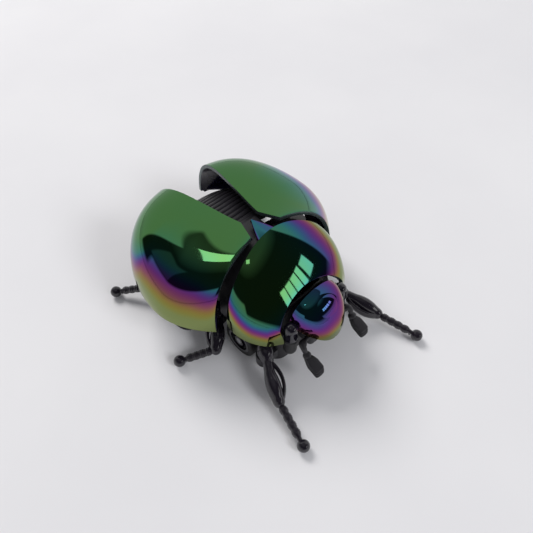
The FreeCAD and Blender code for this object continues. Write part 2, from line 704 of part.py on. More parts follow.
# ---------------------------------------------------------------- wheels and drive axle
node(
    "drive_axle",
    rod("drive_axle_rod", "x", "axle_radius", "2 * wheel_track + wheel_width", "-wheel_track - wheel_width / 2",
        "axle_station", "wheel_radius"),
)
for side, hand in ((1, "left"), (-1, "right")):
    inner_x = f"{side} * wheel_track - wheel_width / 2"
    disc = rod(f"hub_disc_{hand}", "x", "rim_radius", "wheel_width", inner_x, "axle_station", "wheel_radius")
    bore = rod(f"hub_bore_{hand}", "x", "axle_radius", "wheel_width + 2", f"{inner_x} - 1", "axle_station",
               "wheel_radius")
    dish_x = "wheel_track + wheel_width / 2 - 1.4" if side > 0 else "-wheel_track - wheel_width / 2"
    dish = rod(f"hub_dish_{hand}", "x", "rim_radius - 1", "1.4", dish_x, "axle_station", "wheel_radius")
    boss = rod(f"hub_boss_{hand}", "x", "axle_radius + 1", "1.4", dish_x, "axle_station", "wheel_radius")
    dish_ring = cut(f"hub_dish_ring_{hand}", dish, [boss])
    node(f"wheel_hub_{hand}", cut(f"wheel_hub_{hand}_turned", disc, [bore, dish_ring]))
    tread = rod(f"tyre_disc_{hand}", "x", "wheel_radius", "wheel_width", inner_x, "axle_station", "wheel_radius")
    seat = rod(f"tyre_seat_{hand}", "x", "rim_radius", "wheel_width + 2", f"{inner_x} - 1", "axle_station",
               "wheel_radius")
    blank = cut(f"tyre_blank_{hand}", tread, [seat])
    doc.recompute()
    rounded = doc.addObject("Part::Fillet", f"tyre_{hand}_rounded")
    rounded.Base = blank
    reach = size("wheel_radius")
    rims = [
        k + 1 for k, edge in enumerate(blank.Shape.Edges)
        if hasattr(edge.Curve, "Radius") and abs(edge.Curve.Radius - reach) < 1e-6
    ]
    rounded.Edges = [(k, 0.7, 0.7) for k in rims]
    node(f"tyre_{hand}", rounded)

# ---------------------------------------------------------------- gears
PRESSURE = math.radians(20)
AXLE_TEETH, SMALL_TEETH, LARGE_TEETH, PINION_TEETH = 20, 14, 24, 10


def pitch_radius(teeth):
    return size("gear_module") * teeth / 2


def half_tooth(teeth, radius):
    """Half the angle that a tooth covers at a radius: an involute above its base circle."""
    base = pitch_radius(teeth) * math.cos(PRESSURE)
    at_pitch = (math.pi * size("gear_module") / 2 - size("gear_backlash")) / 2 / pitch_radius(teeth)
    slope = math.acos(clamp(base / max(radius, base)))
    involute = (math.tan(PRESSURE) - PRESSURE) - (math.tan(slope) - slope)
    return at_pitch + involute


def gear_outline(teeth, start):
    """The closed outline of a gear in the YZ plane with a tooth at the start angle, counted from +Y."""
    pitch = pitch_radius(teeth)
    root, tip = pitch - 1.15 * size("gear_module"), pitch + 0.8 * size("gear_module")
    radii = spread(root, tip, 6)
    points = []
    for tooth in range(teeth):
        centre = start + 2 * math.pi * tooth / teeth
        flank = [(r, half_tooth(teeth, r)) for r in radii]
        for r, angle in [(r, -a) for r, a in flank] + [(r, a) for r, a in reversed(flank)]:
            points.append(V(0, r * math.cos(centre + angle), r * math.sin(centre + angle)))
    return Part.Face(Part.makePolygon(points + points[:1]))


def gear(name, teeth, start, face, x, centre):
    """A toothed wheel on the axis through the centre point (Y, Z), its face starting at x."""
    outline = solid_feature(name + "_outline", gear_outline(teeth, start))
    outline.Placement = FreeCAD.Placement(V(size_of(x), centre[0], centre[1]), FreeCAD.Rotation())
    item = doc.addObject("Part::Extrusion", name)
    item.Base = outline
    item.Dir = V(1, 0, 0)
    item.Solid = True
    bind(item, LengthFwd=face)
    return item


def size_of(text):
    """The value of a sum of aliases and numbers."""
    total = 0.0
    for term in text.split("+"):
        term = term.strip()
        total += size(term) if term in ALIASES else float(term)
    return total


MESH_ANGLE = math.radians(52)
MOTOR_ANGLE = math.radians(52)
axle_centre = (size("axle_station"), size("wheel_radius"))
first_span = pitch_radius(AXLE_TEETH) + pitch_radius(SMALL_TEETH)
second_span = pitch_radius(LARGE_TEETH) + pitch_radius(PINION_TEETH)
idler_centre = (
    axle_centre[0] + first_span * math.cos(MESH_ANGLE),
    axle_centre[1] + first_span * math.sin(MESH_ANGLE),
)
motor_centre = (
    idler_centre[0] + second_span * math.cos(MOTOR_ANGLE),
    idler_centre[1] + second_span * math.sin(MOTOR_ANGLE),
)
LARGE_AT, SMALL_AT = "gearbox_side + 1.6", "gearbox_side + 4.4"
axle_wheel = gear("axle_gear_teeth", AXLE_TEETH, MESH_ANGLE, "gear_face", SMALL_AT, axle_centre)
gear_bore = rod("axle_gear_bore", "x", "axle_radius", "8", "gearbox_side + 2", "axle_station", "wheel_radius")
node("axle_gear", cut("axle_gear_bored", axle_wheel, [gear_bore]))

small_start = MESH_ANGLE + math.pi + math.pi / SMALL_TEETH
small = gear("reduction_small", SMALL_TEETH, small_start, "gear_face", SMALL_AT, idler_centre)
large = gear("reduction_large", LARGE_TEETH, MOTOR_ANGLE, "gear_face", LARGE_AT, idler_centre)
link = rod("reduction_link", "x", "gear_pin_radius + 0.8", "1.2", "gearbox_side + 3.6",
           idler_centre[0], idler_centre[1])
pin_bore = rod("reduction_bore", "x", "gear_pin_radius + running_gap", "10", "gearbox_side",
               idler_centre[0], idler_centre[1])
node("reduction_gear", cut("reduction_gear_bored", fuse("reduction_blank", [small, large, link]), [pin_bore]))

pinion_start = MOTOR_ANGLE + math.pi + math.pi / PINION_TEETH
pinion = gear("motor_pinion_teeth", PINION_TEETH, pinion_start, "gear_face", LARGE_AT, motor_centre)
shaft_bore = rod("pinion_bore", "x", "motor_shaft_radius", "8", "gearbox_side", motor_centre[0], motor_centre[1])
node("motor_pinion", cut("motor_pinion_bored", pinion, [shaft_bore]))
shaft_in = 6
node(
    "motor_shaft",
    rod("motor_shaft_rod", "x", "motor_shaft_radius", f"{shaft_in} + gear_face + 2.2",
        f"gearbox_side - {shaft_in}", motor_centre[0], motor_centre[1]),
)

# ---------------------------------------------------------------- gearbox frame and motor
BOX_INNER = "gear_face * 2 + 3.4"
plate_from, plate_long = "axle_station - 3", f"{motor_centre[0] - axle_centre[0]:.3f} + 8"
plate_low = "ground_clearance + chassis_floor"
plate_high = f"{motor_centre[1]:.3f} + 4 - ground_clearance - chassis_floor"
plates = [
    box("gearbox_plate_inner", "gearbox_wall", plate_long, plate_high, "gearbox_side - gearbox_wall",
        plate_from, plate_low),
    box("gearbox_plate_outer", "gearbox_wall", plate_long, plate_high, f"gearbox_side + {BOX_INNER}",
        plate_from, plate_low),
    box("gearbox_bridge", f"{BOX_INNER} + gearbox_wall", plate_long, "1", "gearbox_side - 0.5",
        plate_from, f"{motor_centre[1]:.3f} + 3"),
]
gearbox_bores = [
    rod("gearbox_axle_bore", "x", "axle_radius + running_gap", "20", "gearbox_side - 4", "axle_station",
        "wheel_radius"),
    rod("gearbox_pin_bore", "x", "gear_pin_radius", "20", "gearbox_side - 4", idler_centre[0], idler_centre[1]),
    rod("gearbox_motor_bore", "x", "motor_shaft_radius + 1.6", "8", "gearbox_side - 5", motor_centre[0],
        motor_centre[1]),
]
node("gearbox_frame", cut("gearbox_cut", fuse("gearbox_body", plates), gearbox_bores))
node(
    "gear_pin",
    rod("gear_pin_rod", "x", "gear_pin_radius", f"{BOX_INNER} + 2 * gearbox_wall", "gearbox_side - gearbox_wall",
        idler_centre[0], idler_centre[1]),
)
can_round = rod("motor_round", "x", "motor_width / 2", "motor_length", "gearbox_side - gearbox_wall - motor_length",
                motor_centre[0], motor_centre[1])
can_flat = box("motor_flats", "motor_length + 2", "motor_width + 2", "motor_height",
               "gearbox_side - gearbox_wall - motor_length - 1", f"{motor_centre[0]:.3f} - motor_width / 2 - 1",
               f"{motor_centre[1]:.3f} - motor_height / 2")
can = doc.addObject("Part::Common", "motor_can")
can.Base, can.Tool = can_round, can_flat
nose = rod("motor_nose", "x", "motor_shaft_radius + 1.5", "gearbox_wall + 0.4", "gearbox_side - gearbox_wall",
           motor_centre[0], motor_centre[1])
end_cap = rod("motor_end_cap", "x", "motor_height / 2 - 1", "1.5",
              "gearbox_side - gearbox_wall - motor_length - 1.5", motor_centre[0], motor_centre[1])
bearing = rod("motor_bearing", "x", "motor_shaft_radius + running_gap", "12", f"gearbox_side - {shaft_in} - 0.3",
              motor_centre[0], motor_centre[1])
node("motor", cut("motor_bored", fuse("motor_body", [can, nose, end_cap]), [bearing]))

# ---------------------------------------------------------------- rear roller
roller = rod("roller_drum", "x", "roller_radius", "roller_width", "-roller_width / 2", "roller_station",
             "roller_radius")
roller_hole = rod("roller_hole", "x", "roller_pin_radius + running_gap", "roller_width + 2",
                  "-roller_width / 2 - 1", "roller_station", "roller_radius")
node("rear_roller", cut("rear_roller_bored", roller, [roller_hole]))
node(
    "roller_pin",
    rod("roller_pin_rod", "x", "roller_pin_radius", "roller_width + 4.4", "-roller_width / 2 - 2.2",
        "roller_station", "roller_radius"),
)

# ---------------------------------------------------------------- battery, contacts and door
CELLS = 3
cell_low = "ground_clearance + chassis_floor + 0.3"
stack = f"{CELLS} * cell_thick + {CELLS - 1} * 0.1"
cells = [
    rod(f"cell_{k}", "x", "cell_radius", "cell_thick", f"-({stack}) / 2 + {k} * (cell_thick + 0.1)",
        "cell_station", f"{cell_low} + cell_radius")
    for k in range(CELLS)
]
cell_set = doc.addObject("Part::Compound", "cell_set")
cell_set.Links = cells
node("button_cells", cell_set)
contacts = [
    box("contact_plate_left", "0.4", "8", "9", f"({stack}) / 2", "cell_station - 4", f"{cell_low} + 1"),
    box("contact_plate_right", "0.4", "8", "9", f"-({stack}) / 2 - 0.4", "cell_station - 4", f"{cell_low} + 1"),
]
contact_set = doc.addObject("Part::Compound", "contact_set")
contact_set.Links = contacts
node("battery_contacts", contact_set)
holders = []
for side, hand in ((1, "left"), (-1, "right")):
    start = f"({stack}) / 2 + 0.4" if side > 0 else f"-({stack}) / 2 - 0.4 - 1.4"
    holders.append(box(f"holder_end_{hand}", "1.4", "13", "10.5", start, "cell_station - 6.5", f"{cell_low}"))
for edge, station in (("front", "cell_station - cell_radius - 1.5"), ("back", "cell_station + cell_radius + 0.3")):
    holders.append(box(f"holder_side_{edge}", f"{stack} + 3.6", "1.2", "6", f"-({stack}) / 2 - 1.8", station,
                       f"{cell_low} + 4.5"))
holders.append(rod("holder_post", "z", "screw_radius + 1.2", "6", "0", "cell_station + 9.2", f"{cell_low}"))
holder_bore = rod("holder_bore", "z", "screw_radius", "8", "0", "cell_station + 9.2", f"{cell_low} - 1")
node("battery_holder", cut("battery_holder_bored", fuse("battery_holder_whole", holders), [holder_bore]))
door = box("door_blank", "21", "19.2", "chassis_floor", "-10.5", "cell_station - 7.8", "ground_clearance")
door_bore = rod("door_bore", "z", "screw_radius + 0.1", "6", "0", "cell_station + 9.2", "-1")
door_sink = rod("door_sink", "z", "screw_radius + 0.9", "1.2", "0", "cell_station + 9.2", "ground_clearance - 0.5")
node("battery_door", cut("battery_door_cut", door, [door_bore, door_sink]))
door_shank = rod("door_shank", "z", "screw_radius", "5.5", "0", "cell_station + 9.2", "ground_clearance + 0.7")
door_head = rod("door_head", "z", "screw_radius + 0.7", "0.6", "0", "cell_station + 9.2", "ground_clearance + 0.1")
node("door_screw", fuse("door_screw_whole", [door_shank, door_head]))

# ---------------------------------------------------------------- board and switch
board = box("board_blank", "26", "22", "1", "-13", "-1", "deck_level + deck_thick + 1.4")
standoffs = [
    rod(f"standoff_{k}", "z", "1.2", "1.4", f"{side} * 11", station, "deck_level + deck_thick")
    for k, (side, station) in enumerate([(-1, "1"), (1, "1"), (-1, "19"), (1, "19")])
]
node("circuit_board", fuse("circuit_board_whole", [board] + standoffs))
level = "deck_level + deck_thick + 2.4"
parts_on_board = [
    box("driver_chip", "6", "5", "1.6", "-8", "6", level),
    rod("capacitor", "z", "2.5", "6", "5", "5", level),
    box("transistor", "4", "2.4", "3.2", "2", "13", level),
]
board_set = doc.addObject("Part::Compound", "board_set")
board_set.Links = parts_on_board
node("board_parts", board_set)
switch_case = box("switch_case_blank", "3.4", "8", "4", "-14.7", "15.3", "ground_clearance + chassis_floor")
switch_room = box("switch_room", "2.3", "6.2", "3.2", "-14.15", "16.2", "ground_clearance + chassis_floor - 0.2")
node("switch_body", cut("switch_body_cut", switch_case, [switch_room]))
node("switch_knob", box("switch_knob_block", "1.9", "2.4", "3.6", "-13.95", "16.6", "ground_clearance + 0.2"))

# ---------------------------------------------------------------- legs
FOOT = {"front": V(32.7, -69.0, 0), "mid": V(42.6, -12.6, 0), "rear": V(41.0, 32.6, 0)}
KNEE = {"front": V(28.0, -52.2, 5.2), "mid": V(30.4, -20.2, 6.4), "rear": V(30.3, 21.2, 7.3)}


def hip_point(kind):
    side = size("chassis_half_width") + size("hip_out")
    return V(side, HIPS[kind], size("hip_top") + size("femur_radius") * 0.72)


def leg(kind, side, hand):
    """A one-piece leg: hip peg, slotted femur, beaded tibia and foot ball."""
    name = f"leg_{kind}_{hand}"
    foot = V(FOOT[kind].x, FOOT[kind].y, size("leg_ball") + size("leg_lift"))
    hip, knee, foot = (mirrored(p, side) for p in (hip_point(kind), KNEE[kind], foot))
    pieces = [
        knob(name + "_hip", hip, "femur_radius + joint_bulge"),
        taper(name + "_femur", hip, knee, "femur_radius", "knee_radius"),
        knob(name + "_knee", knee, "knee_radius + joint_bulge"),
        taper(name + "_tibia", knee, foot, "tibia_radius + 0.2", "tibia_radius"),
        knob(name + "_foot", foot, "leg_ball"),
    ]
    for k, share in enumerate((0.22, 0.40, 0.58, 0.76)):
        pieces.append(knob(f"{name}_bead_{k}", knee + (foot - knee) * share, "bead_radius"))
    x, station = f"{side} * (chassis_half_width + hip_out)", HIPS[kind]
    peg = rod(name + "_peg", "z", "hip_peg_radius", "6", x, station, "hip_top - 4")
    shelf = rod(name + "_shelf", "z", "hip_radius + 0.4", "10", x, station, "hip_top - 9.9")
    slot = box(name + "_slot", "20", "slot_width", "30", "0", "0", "-15")
    run = knee - hip
    turn = FreeCAD.Rotation(V(1, 0, 0), V(run.x, run.y, 0))
    slot.setExpression("Length", None)
    slot.Length = run.Length * 0.42
    for axis in "xyz":
        slot.setExpression(f"Placement.Base.{axis}", None)
    start = hip + run * 0.32 - turn.multVec(V(0, size("slot_width") / 2, 15))
    slot.Placement = FreeCAD.Placement(start, turn)
    trimmed = cut(name + "_trimmed", fuse(name + "_body", pieces), [shelf, slot])
    node(name, fuse(name + "_whole", [trimmed, peg]))


for kind in HIPS:
    for side, hand in ((1, "left"), (-1, "right")):
        leg(kind, side, hand)

# ---------------------------------------------------------------- checks and export
doc.recompute()
for item in doc.Objects:
    if "Invalid" in item.State or "Error" in item.State:
        raise SystemExit(f"{item.Name} failed: {item.State}")
for name, item in NODES.items():
    if item.Shape.isNull() or not item.Shape.isValid() or item.Shape.Volume <= 0:
        raise SystemExit(f"{name} has no valid solid")
to_frame = V(0, size("frame_shift"), 0)
for name, item in NODES.items():
    shape = item.Shape.copy()
    shape.translate(to_frame)
    shape.exportStep(f"parts/{name}.step")
print(len(NODES), "nodes written")
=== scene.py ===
"""Looks of the beetle robot: mirror-plated shells over a black body, on a pale floor.

Shapes are worked out in millimetres on the design axes: the beetle faces -Y, its left side is +X, +Z is up,
and the hinge line of the wing covers lies at Y = -26.1. placed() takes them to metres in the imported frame.
"""

import math

import bpy
import numpy as np
from mathutils import Matrix, Vector


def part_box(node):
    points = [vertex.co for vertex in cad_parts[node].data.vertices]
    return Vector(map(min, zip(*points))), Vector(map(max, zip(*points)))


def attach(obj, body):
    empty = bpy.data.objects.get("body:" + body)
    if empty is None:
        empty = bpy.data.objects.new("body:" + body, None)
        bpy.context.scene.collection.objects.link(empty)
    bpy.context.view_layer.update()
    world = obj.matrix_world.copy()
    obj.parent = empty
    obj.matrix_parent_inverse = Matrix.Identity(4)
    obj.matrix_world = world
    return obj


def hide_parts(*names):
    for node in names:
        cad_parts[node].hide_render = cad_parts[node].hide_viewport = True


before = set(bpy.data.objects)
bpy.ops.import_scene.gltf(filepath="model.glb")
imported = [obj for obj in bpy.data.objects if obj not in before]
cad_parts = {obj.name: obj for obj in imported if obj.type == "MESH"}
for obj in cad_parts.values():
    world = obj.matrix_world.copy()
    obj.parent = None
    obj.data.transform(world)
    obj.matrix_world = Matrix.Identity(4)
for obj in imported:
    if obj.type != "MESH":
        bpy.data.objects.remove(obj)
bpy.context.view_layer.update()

# ------------------------------------------------------------------------------------------ wing covers
# Two domed half shells, injection moulded in plastic 1.5 mm thick and then vacuum plated with a mirror film
# whose colour runs from green over violet to gold. Each one swings on an upright pin under the pronotum.

DECK_FRONT_STATION = -39.0  # the deck plate's front edge on the design axes
frame_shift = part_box("deck_plate")[0].y * 1000 - DECK_FRONT_STATION
SHELL_WALL = 1.5
WING_FRONT, WING_REAR = -16.5, 37.7
WING_OPEN = math.radians(9.9)
HINGE = np.array([8.0, -26.1])
NOTCH_HALF_WIDTH, NOTCH_LENGTH = 5.5, 9.6


def placed(points):
    """Millimetres on the design axes to metres in the frame: a shift along Y, then a division by 1000."""
    return (np.asarray(points, float) + [0, frame_shift, 0]) / 1000


def unit(values):
    """Values kept between 0 and 1."""
    return np.clip(values, 0, 1)


def arch(width, edge, top, flatness, fullness, angle):
    """A cross-section: x = width cos^flatness, z = edge + (top - edge) sin^fullness, from side to side."""
    cosine, sine = np.cos(angle), unit(np.sin(angle))
    return width * np.sign(cosine) * np.abs(cosine) ** flatness, edge + (top - edge) * sine**fullness


def wing_skin(station, angle):
    """Closed left cover: arches whose width and crown shrink to the rear as rounded power curves."""
    front = WING_FRONT - 2.0 * (1 - unit(np.sin(angle)))
    y = front + (WING_REAR - front) * np.sin(station * np.pi / 2)
    back, fore = unit((y - 1.2) / 36.5), np.clip((1.2 - y) / 18.6, 0, 1.6)
    width = 37 * (1 - back**1.6) ** (1 / 2.4) - 7 * fore**2
    crown_back, crown_fore = unit((y + 0.2) / 37.9), np.clip((-0.2 - y) / 17.2, 0, 1.6)
    crown = 24.6 * (1 - crown_back**4.7) ** (1 / 2.2) + 1.8 * crown_fore**2
    share = (y + 17.4) / 55.1
    edge = 22.8 - 2.8 * (1 - share) ** 2 + 2.4 * share * (1 - share)
    x, z = arch(width, edge, 22.8 + crown, 0.83, 0.96, angle)
    return np.stack([x + 0.43, y, z], -1), width


def notch_angle(station):
    """The highest angle of each station: the inner edge, drawn back beside the scutellum's notch."""
    top = np.full_like(station, math.radians(89.6))
    for _ in range(3):
        points, width = wing_skin(station, top)
        reach = NOTCH_HALF_WIDTH * (1 - (points[:, 1] - WING_FRONT) / NOTCH_LENGTH)
        share = unit((np.maximum(reach, 0.6) - 0.43) / np.maximum(width, 0.5))
        top = np.arccos(share ** (1 / 0.83))
    return np.minimum(top, math.radians(89.6))


def turned(points, pivot, angle):
    """Points turned about an upright line through the pivot."""
    x, y = points[..., 0] - pivot[0], points[..., 1] - pivot[1]
    cosine, sine = math.cos(angle), math.sin(angle)
    return np.stack([pivot[0] + x * cosine - y * sine, pivot[1] + x * sine + y * cosine, points[..., 2]], -1)


def sheet_faces(rows, columns, around):
    """Quads of a grid of rows by columns, closed across the columns if around is set."""
    across = columns if around else columns - 1
    row, column = np.meshgrid(np.arange(rows - 1), np.arange(across), indexing="ij")
    beside = (column + 1) % columns
    corners = [row * columns + column, row * columns + beside, (row + 1) * columns + beside,
               (row + 1) * columns + column]
    return np.stack(corners, -1).reshape(-1, 4)


def piece(name, parts, attribute=None):
    """One object from (grid, around, inside) surfaces: quads between the rows, turned to face away from
    inside, which is one point or one point for each row of the grid."""
    points, faces, first = [], [], 0
    for grid, around, inside in parts:
        rows, columns = grid.shape[:2]
        flat = grid.reshape(-1, 3)
        own = sheet_faces(rows, columns, around)
        core = np.repeat(np.broadcast_to(np.asarray(inside, float), (rows, 3)), columns, 0)
        corner = flat[own]
        normal = np.cross(corner[:, 2] - corner[:, 0], corner[:, 3] - corner[:, 1])
        if np.sum(normal * (corner.mean(1) - core[own].mean(1))) < 0:
            own = own[:, ::-1]
        points.append(placed(flat))
        faces.append(own + first)
        first += len(flat)
    mesh = bpy.data.meshes.new(name)
    mesh.from_pydata(np.concatenate(points), [], np.concatenate(faces).tolist())
    mesh.polygons.foreach_set("use_smooth", np.ones(len(mesh.polygons), bool))
    if attribute is not None:
        layer = mesh.attributes.new("film", "FLOAT", "POINT")
        layer.data.foreach_set("value", np.asarray(attribute, np.float32).ravel())
    item = bpy.data.objects.new(name, mesh)
    bpy.context.scene.collection.objects.link(item)
    return item


def thicken(item, wall, edge=0.35):
    """Gives an open skin its wall on the inner side, with rounded rims; rims and insides get own slots."""
    solid = item.modifiers.new("wall", "SOLIDIFY")
    solid.thickness = wall / 1000
    solid.offset = -1
    solid.use_even_offset = True
    solid.material_offset = 1
    solid.material_offset_rim = 2
    rounding = item.modifiers.new("rim", "BEVEL")
    rounding.width = edge / 1000
    rounding.segments = 3
    rounding.limit_method = "ANGLE"
    rounding.angle_limit = math.radians(50)
    rounding.harden_normals = False
    return item


def nodes_of(material):
    """A new material's node maker: make(type, x, y, socket values) adds a node and returns it."""
    material.use_nodes = True
    tree = material.node_tree
    tree.nodes.clear()

    def make(kind, x=0, y=0, **values):
        node = tree.nodes.new("ShaderNode" + kind)
        node.location = (x, y)
        for key, value in values.items():
            if key in ("operation", "blend_type", "data_type", "noise_dimensions", "attribute_name",
                       "distance_metric", "feature", "wave_type", "bands_direction", "interpolation_type",
                       "vector_type", "gradient_type"):
                setattr(node, key, value)
            else:
                node.inputs[key.replace("_", " ")].default_value = value
        return node

    return make, tree.links.new


def colour(red, green, blue):
    return (red, green, blue, 1.0)


# film colour against the film measure, from the top of a shell to its lower edge and to grazing angles: a
# painted reflection colour, laid on by height, where a real film shifts its colour with the viewing angle
FILM_COLOURS = [
    (0.00, (0.09, 0.20, 0.05)), (0.20, (0.07, 0.21, 0.07)), (0.38, (0.04, 0.22, 0.17)),
    (0.47, (0.03, 0.12, 0.26)), (0.56, (0.10, 0.04, 0.26)), (0.66, (0.19, 0.03, 0.18)),
    (0.76, (0.27, 0.08, 0.11)), (0.84, (0.28, 0.18, 0.05)), (0.93, (0.25, 0.24, 0.05)),
    (1.00, (0.20, 0.26, 0.10)),
]


def plated_skin(name, grazing, drift=0.08):
    """Mirror plating: the film measure plus a share of the facing angle picks the colour from the ramp. The
    film measure is a painted reflection colour, laid on by height and position.
    """
    material = bpy.data.materials.new(name)
    make, link = nodes_of(material)
    place = make("TexCoord", -1200, 0)
    film = make("Attribute", -1000, 300, attribute_name="film")
    facing = make("LayerWeight", -1000, 100, Blend=0.5)
    patches = make("TexNoise", -1000, -100, Scale=45.0, Detail=1.0, Roughness=0.4)
    link(place.outputs["Object"], patches.inputs["Vector"])
    turn = make("Math", -800, 100, operation="MULTIPLY_ADD")
    turn.inputs[1].default_value = grazing
    link(facing.outputs["Facing"], turn.inputs[0])
    link(film.outputs["Fac"], turn.inputs[2])
    uneven = make("Math", -800, -100, operation="MULTIPLY_ADD")
    uneven.inputs[1].default_value = drift
    uneven.inputs[2].default_value = -drift / 2
    link(patches.outputs["Fac"], uneven.inputs[0])
    measure = make("Math", -600, 0, operation="ADD")
    link(turn.outputs[0], measure.inputs[0])
    link(uneven.outputs[0], measure.inputs[1])
    ramp = make("ValToRGB", -400, 0)
    ramp.color_ramp.interpolation = "B_SPLINE"
    stops = ramp.color_ramp.elements
    for at, tint in FILM_COLOURS[1:-1]:
        stops.new(at)
    for stop, (at, tint) in zip(stops, FILM_COLOURS):
        stop.position, stop.color = at, colour(*tint)
    link(measure.outputs[0], ramp.inputs["Fac"])
    haze = make("TexNoise", -600, -300, Scale=260.0, Detail=3.0)
    link(place.outputs["Object"], haze.inputs["Vector"])
    rough = make("MapRange", -400, -300, From_Min=0.3, From_Max=0.75, To_Min=0.025, To_Max=0.06)
    link(haze.outputs["Fac"], rough.inputs["Value"])
    swell = make("TexNoise", -600, -500, Scale=90.0, Detail=0.0)
    link(place.outputs["Object"], swell.inputs["Vector"])
    bump = make("Bump", -200, -400, Strength=0.25, Distance=0.00006)
    link(swell.outputs["Fac"], bump.inputs["Height"])
    surface = make("BsdfPrincipled", 0, 0, Metallic=1.0)
    link(ramp.outputs["Color"], surface.inputs["Base Color"])
    link(rough.outputs["Result"], surface.inputs["Roughness"])
    link(bump.outputs["Normal"], surface.inputs["Normal"])
    output = make("OutputMaterial", 250, 0)
    link(surface.outputs["BSDF"], output.inputs["Surface"])
    return material


def grain_group():
    """Moulded plastic: soft blotches in brightness and gloss, and a fine spark-eroded grain as a normal."""
    tree = bpy.data.node_groups.new("moulded grain", "ShaderNodeTree")
    for label, kind, way in (
        ("Colour", "NodeSocketColor", "INPUT"), ("Gloss low", "NodeSocketFloat", "INPUT"),
        ("Gloss high", "NodeSocketFloat", "INPUT"), ("Grain size", "NodeSocketFloat", "INPUT"),
        ("Grain depth", "NodeSocketFloat", "INPUT"),
        ("Colour", "NodeSocketColor", "OUTPUT"), ("Roughness", "NodeSocketFloat", "OUTPUT"),
        ("Normal", "NodeSocketVector", "OUTPUT"),
    ):
        tree.interface.new_socket(name=label, in_out=way, socket_type=kind)
    add = tree.nodes.new
    entry, leave = add("NodeGroupInput"), add("NodeGroupOutput")
    place, blotch, grain = add("ShaderNodeTexCoord"), add("ShaderNodeTexNoise"), add("ShaderNodeTexNoise")
    blotch.inputs["Scale"].default_value = 120.0
    blotch.inputs["Detail"].default_value = 3.0
    grain.inputs["Detail"].default_value = 2.0
    span, tone, bump = add("ShaderNodeMapRange"), add("ShaderNodeMapRange"), add("ShaderNodeBump")
    tint = add("ShaderNodeMix")
    tint.data_type, tint.blend_type = "RGBA", "MULTIPLY"
    tint.inputs["Factor"].default_value = 1.0
    tone.inputs["To Min"].default_value, tone.inputs["To Max"].default_value = 0.7, 1.3
    for start, end in (
        (place.outputs["Object"], blotch.inputs["Vector"]), (place.outputs["Object"], grain.inputs["Vector"]),
        (entry.outputs["Grain size"], grain.inputs["Scale"]), (blotch.outputs["Fac"], span.inputs["Value"]),
        (entry.outputs["Gloss low"], span.inputs["To Min"]),
        (entry.outputs["Gloss high"], span.inputs["To Max"]),
        (blotch.outputs["Fac"], tone.inputs["Value"]), (entry.outputs["Colour"], tint.inputs[6]),
        (tone.outputs["Result"], tint.inputs[7]), (grain.outputs["Fac"], bump.inputs["Height"]),
        (entry.outputs["Grain depth"], bump.inputs["Distance"]), (tint.outputs[2], leave.inputs["Colour"]),
        (span.outputs["Result"], leave.inputs["Roughness"]), (bump.outputs["Normal"], leave.inputs["Normal"]),
    ):
        tree.links.new(start, end)
    return tree


MOULDED_GRAIN = grain_group()


def moulded(name, tint, gloss, grain=(2500.0, 0.00002), **shader):
    """A moulded plastic with the grain group's colour, roughness and normal; gloss is the roughness span."""
    material = bpy.data.materials.new(name)
    make, link = nodes_of(material)
    group = make("Group", -300, 0)
    group.node_tree = MOULDED_GRAIN
    group.inputs["Colour"].default_value = colour(*tint)
    group.inputs["Gloss low"].default_value, group.inputs["Gloss high"].default_value = gloss
    group.inputs["Grain size"].default_value, group.inputs["Grain depth"].default_value = grain
    surface = make("BsdfPrincipled", 0, 0)
    for label, value in shader.items():
        surface.inputs[label.replace("_", " ")].default_value = value
    link(group.outputs["Colour"], surface.inputs["Base Color"])
    link(group.outputs["Roughness"], surface.inputs["Roughness"])
    link(group.outputs["Normal"], surface.inputs["Normal"])
    output = make("OutputMaterial", 250, 0)
    link(surface.outputs["BSDF"], output.inputs["Surface"])
    return material


def fringe(distance):
    """An extra film measure near an edge that fades over about a millimetre: it shifts the painted reflection
    colour along that edge.
    """
    return 0.12 * np.exp(-np.abs(distance) / 1.2)


wing_film = plated_skin("wing cover film", 0.15)
shell_inside = moulded("shell inside", (0.016, 0.013, 0.045), (0.2, 0.36), Coat_Weight=0.3)
shell_rim = moulded("shell rim", (0.07, 0.10, 0.10), (0.2, 0.35), Metallic=0.7)

stations = np.sin(np.linspace(0, 1, 150) * np.pi / 2 * 0.985) / math.sin(np.pi / 2 * 0.985) * 0.985
highest = notch_angle(stations)
shares = np.linspace(0, 1, 120)
angles = math.radians(1.5) + (highest[:, None] - math.radians(1.5)) * shares[None, :]
closed_cover = wing_skin(np.repeat(stations[:, None], len(shares), 1), angles)[0]
# The covers' colour is painted by height: green high on the cover, through blue and violet near the given
# height, to gold and olive low down. It is a painted reflection colour that stands in for the film's colour
# shift with viewing angle.
painted_blue_height = np.interp(closed_cover[..., 1], [-20, -10, 0, 10, 15, 20, 25], [36, 38.5, 39, 39, 38, 33, 30])
wing_painted_tint = np.interp(closed_cover[..., 2] - painted_blue_height, [-14, -10.5, -8, -5.5, -3, 0, 3, 8],
                         [1.0, 0.93, 0.86, 0.76, 0.66, 0.5, 0.32, 0.08])
wing_painted_tint += fringe(closed_cover[..., 1] - closed_cover[:1, :, 1])

for side, hand in ((1, "left"), (-1, "right")):
    open_cover = turned(closed_cover, HINGE, -WING_OPEN) * [side, 1, 1]
    spine = np.stack([open_cover[:, 0, 0] * 0.3, open_cover[:, 0, 1], np.full(len(open_cover), 15.0)], -1)
    cover = piece(f"wing_shell_{hand}", [(open_cover, False, spine)], wing_painted_tint)
    for finish in (wing_film, shell_inside, shell_rim):
        cover.data.materials.append(finish)
    thicken(cover, SHELL_WALL)
    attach(cover, f"wing_{hand}")
    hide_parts(f"wing_cover_{hand}")

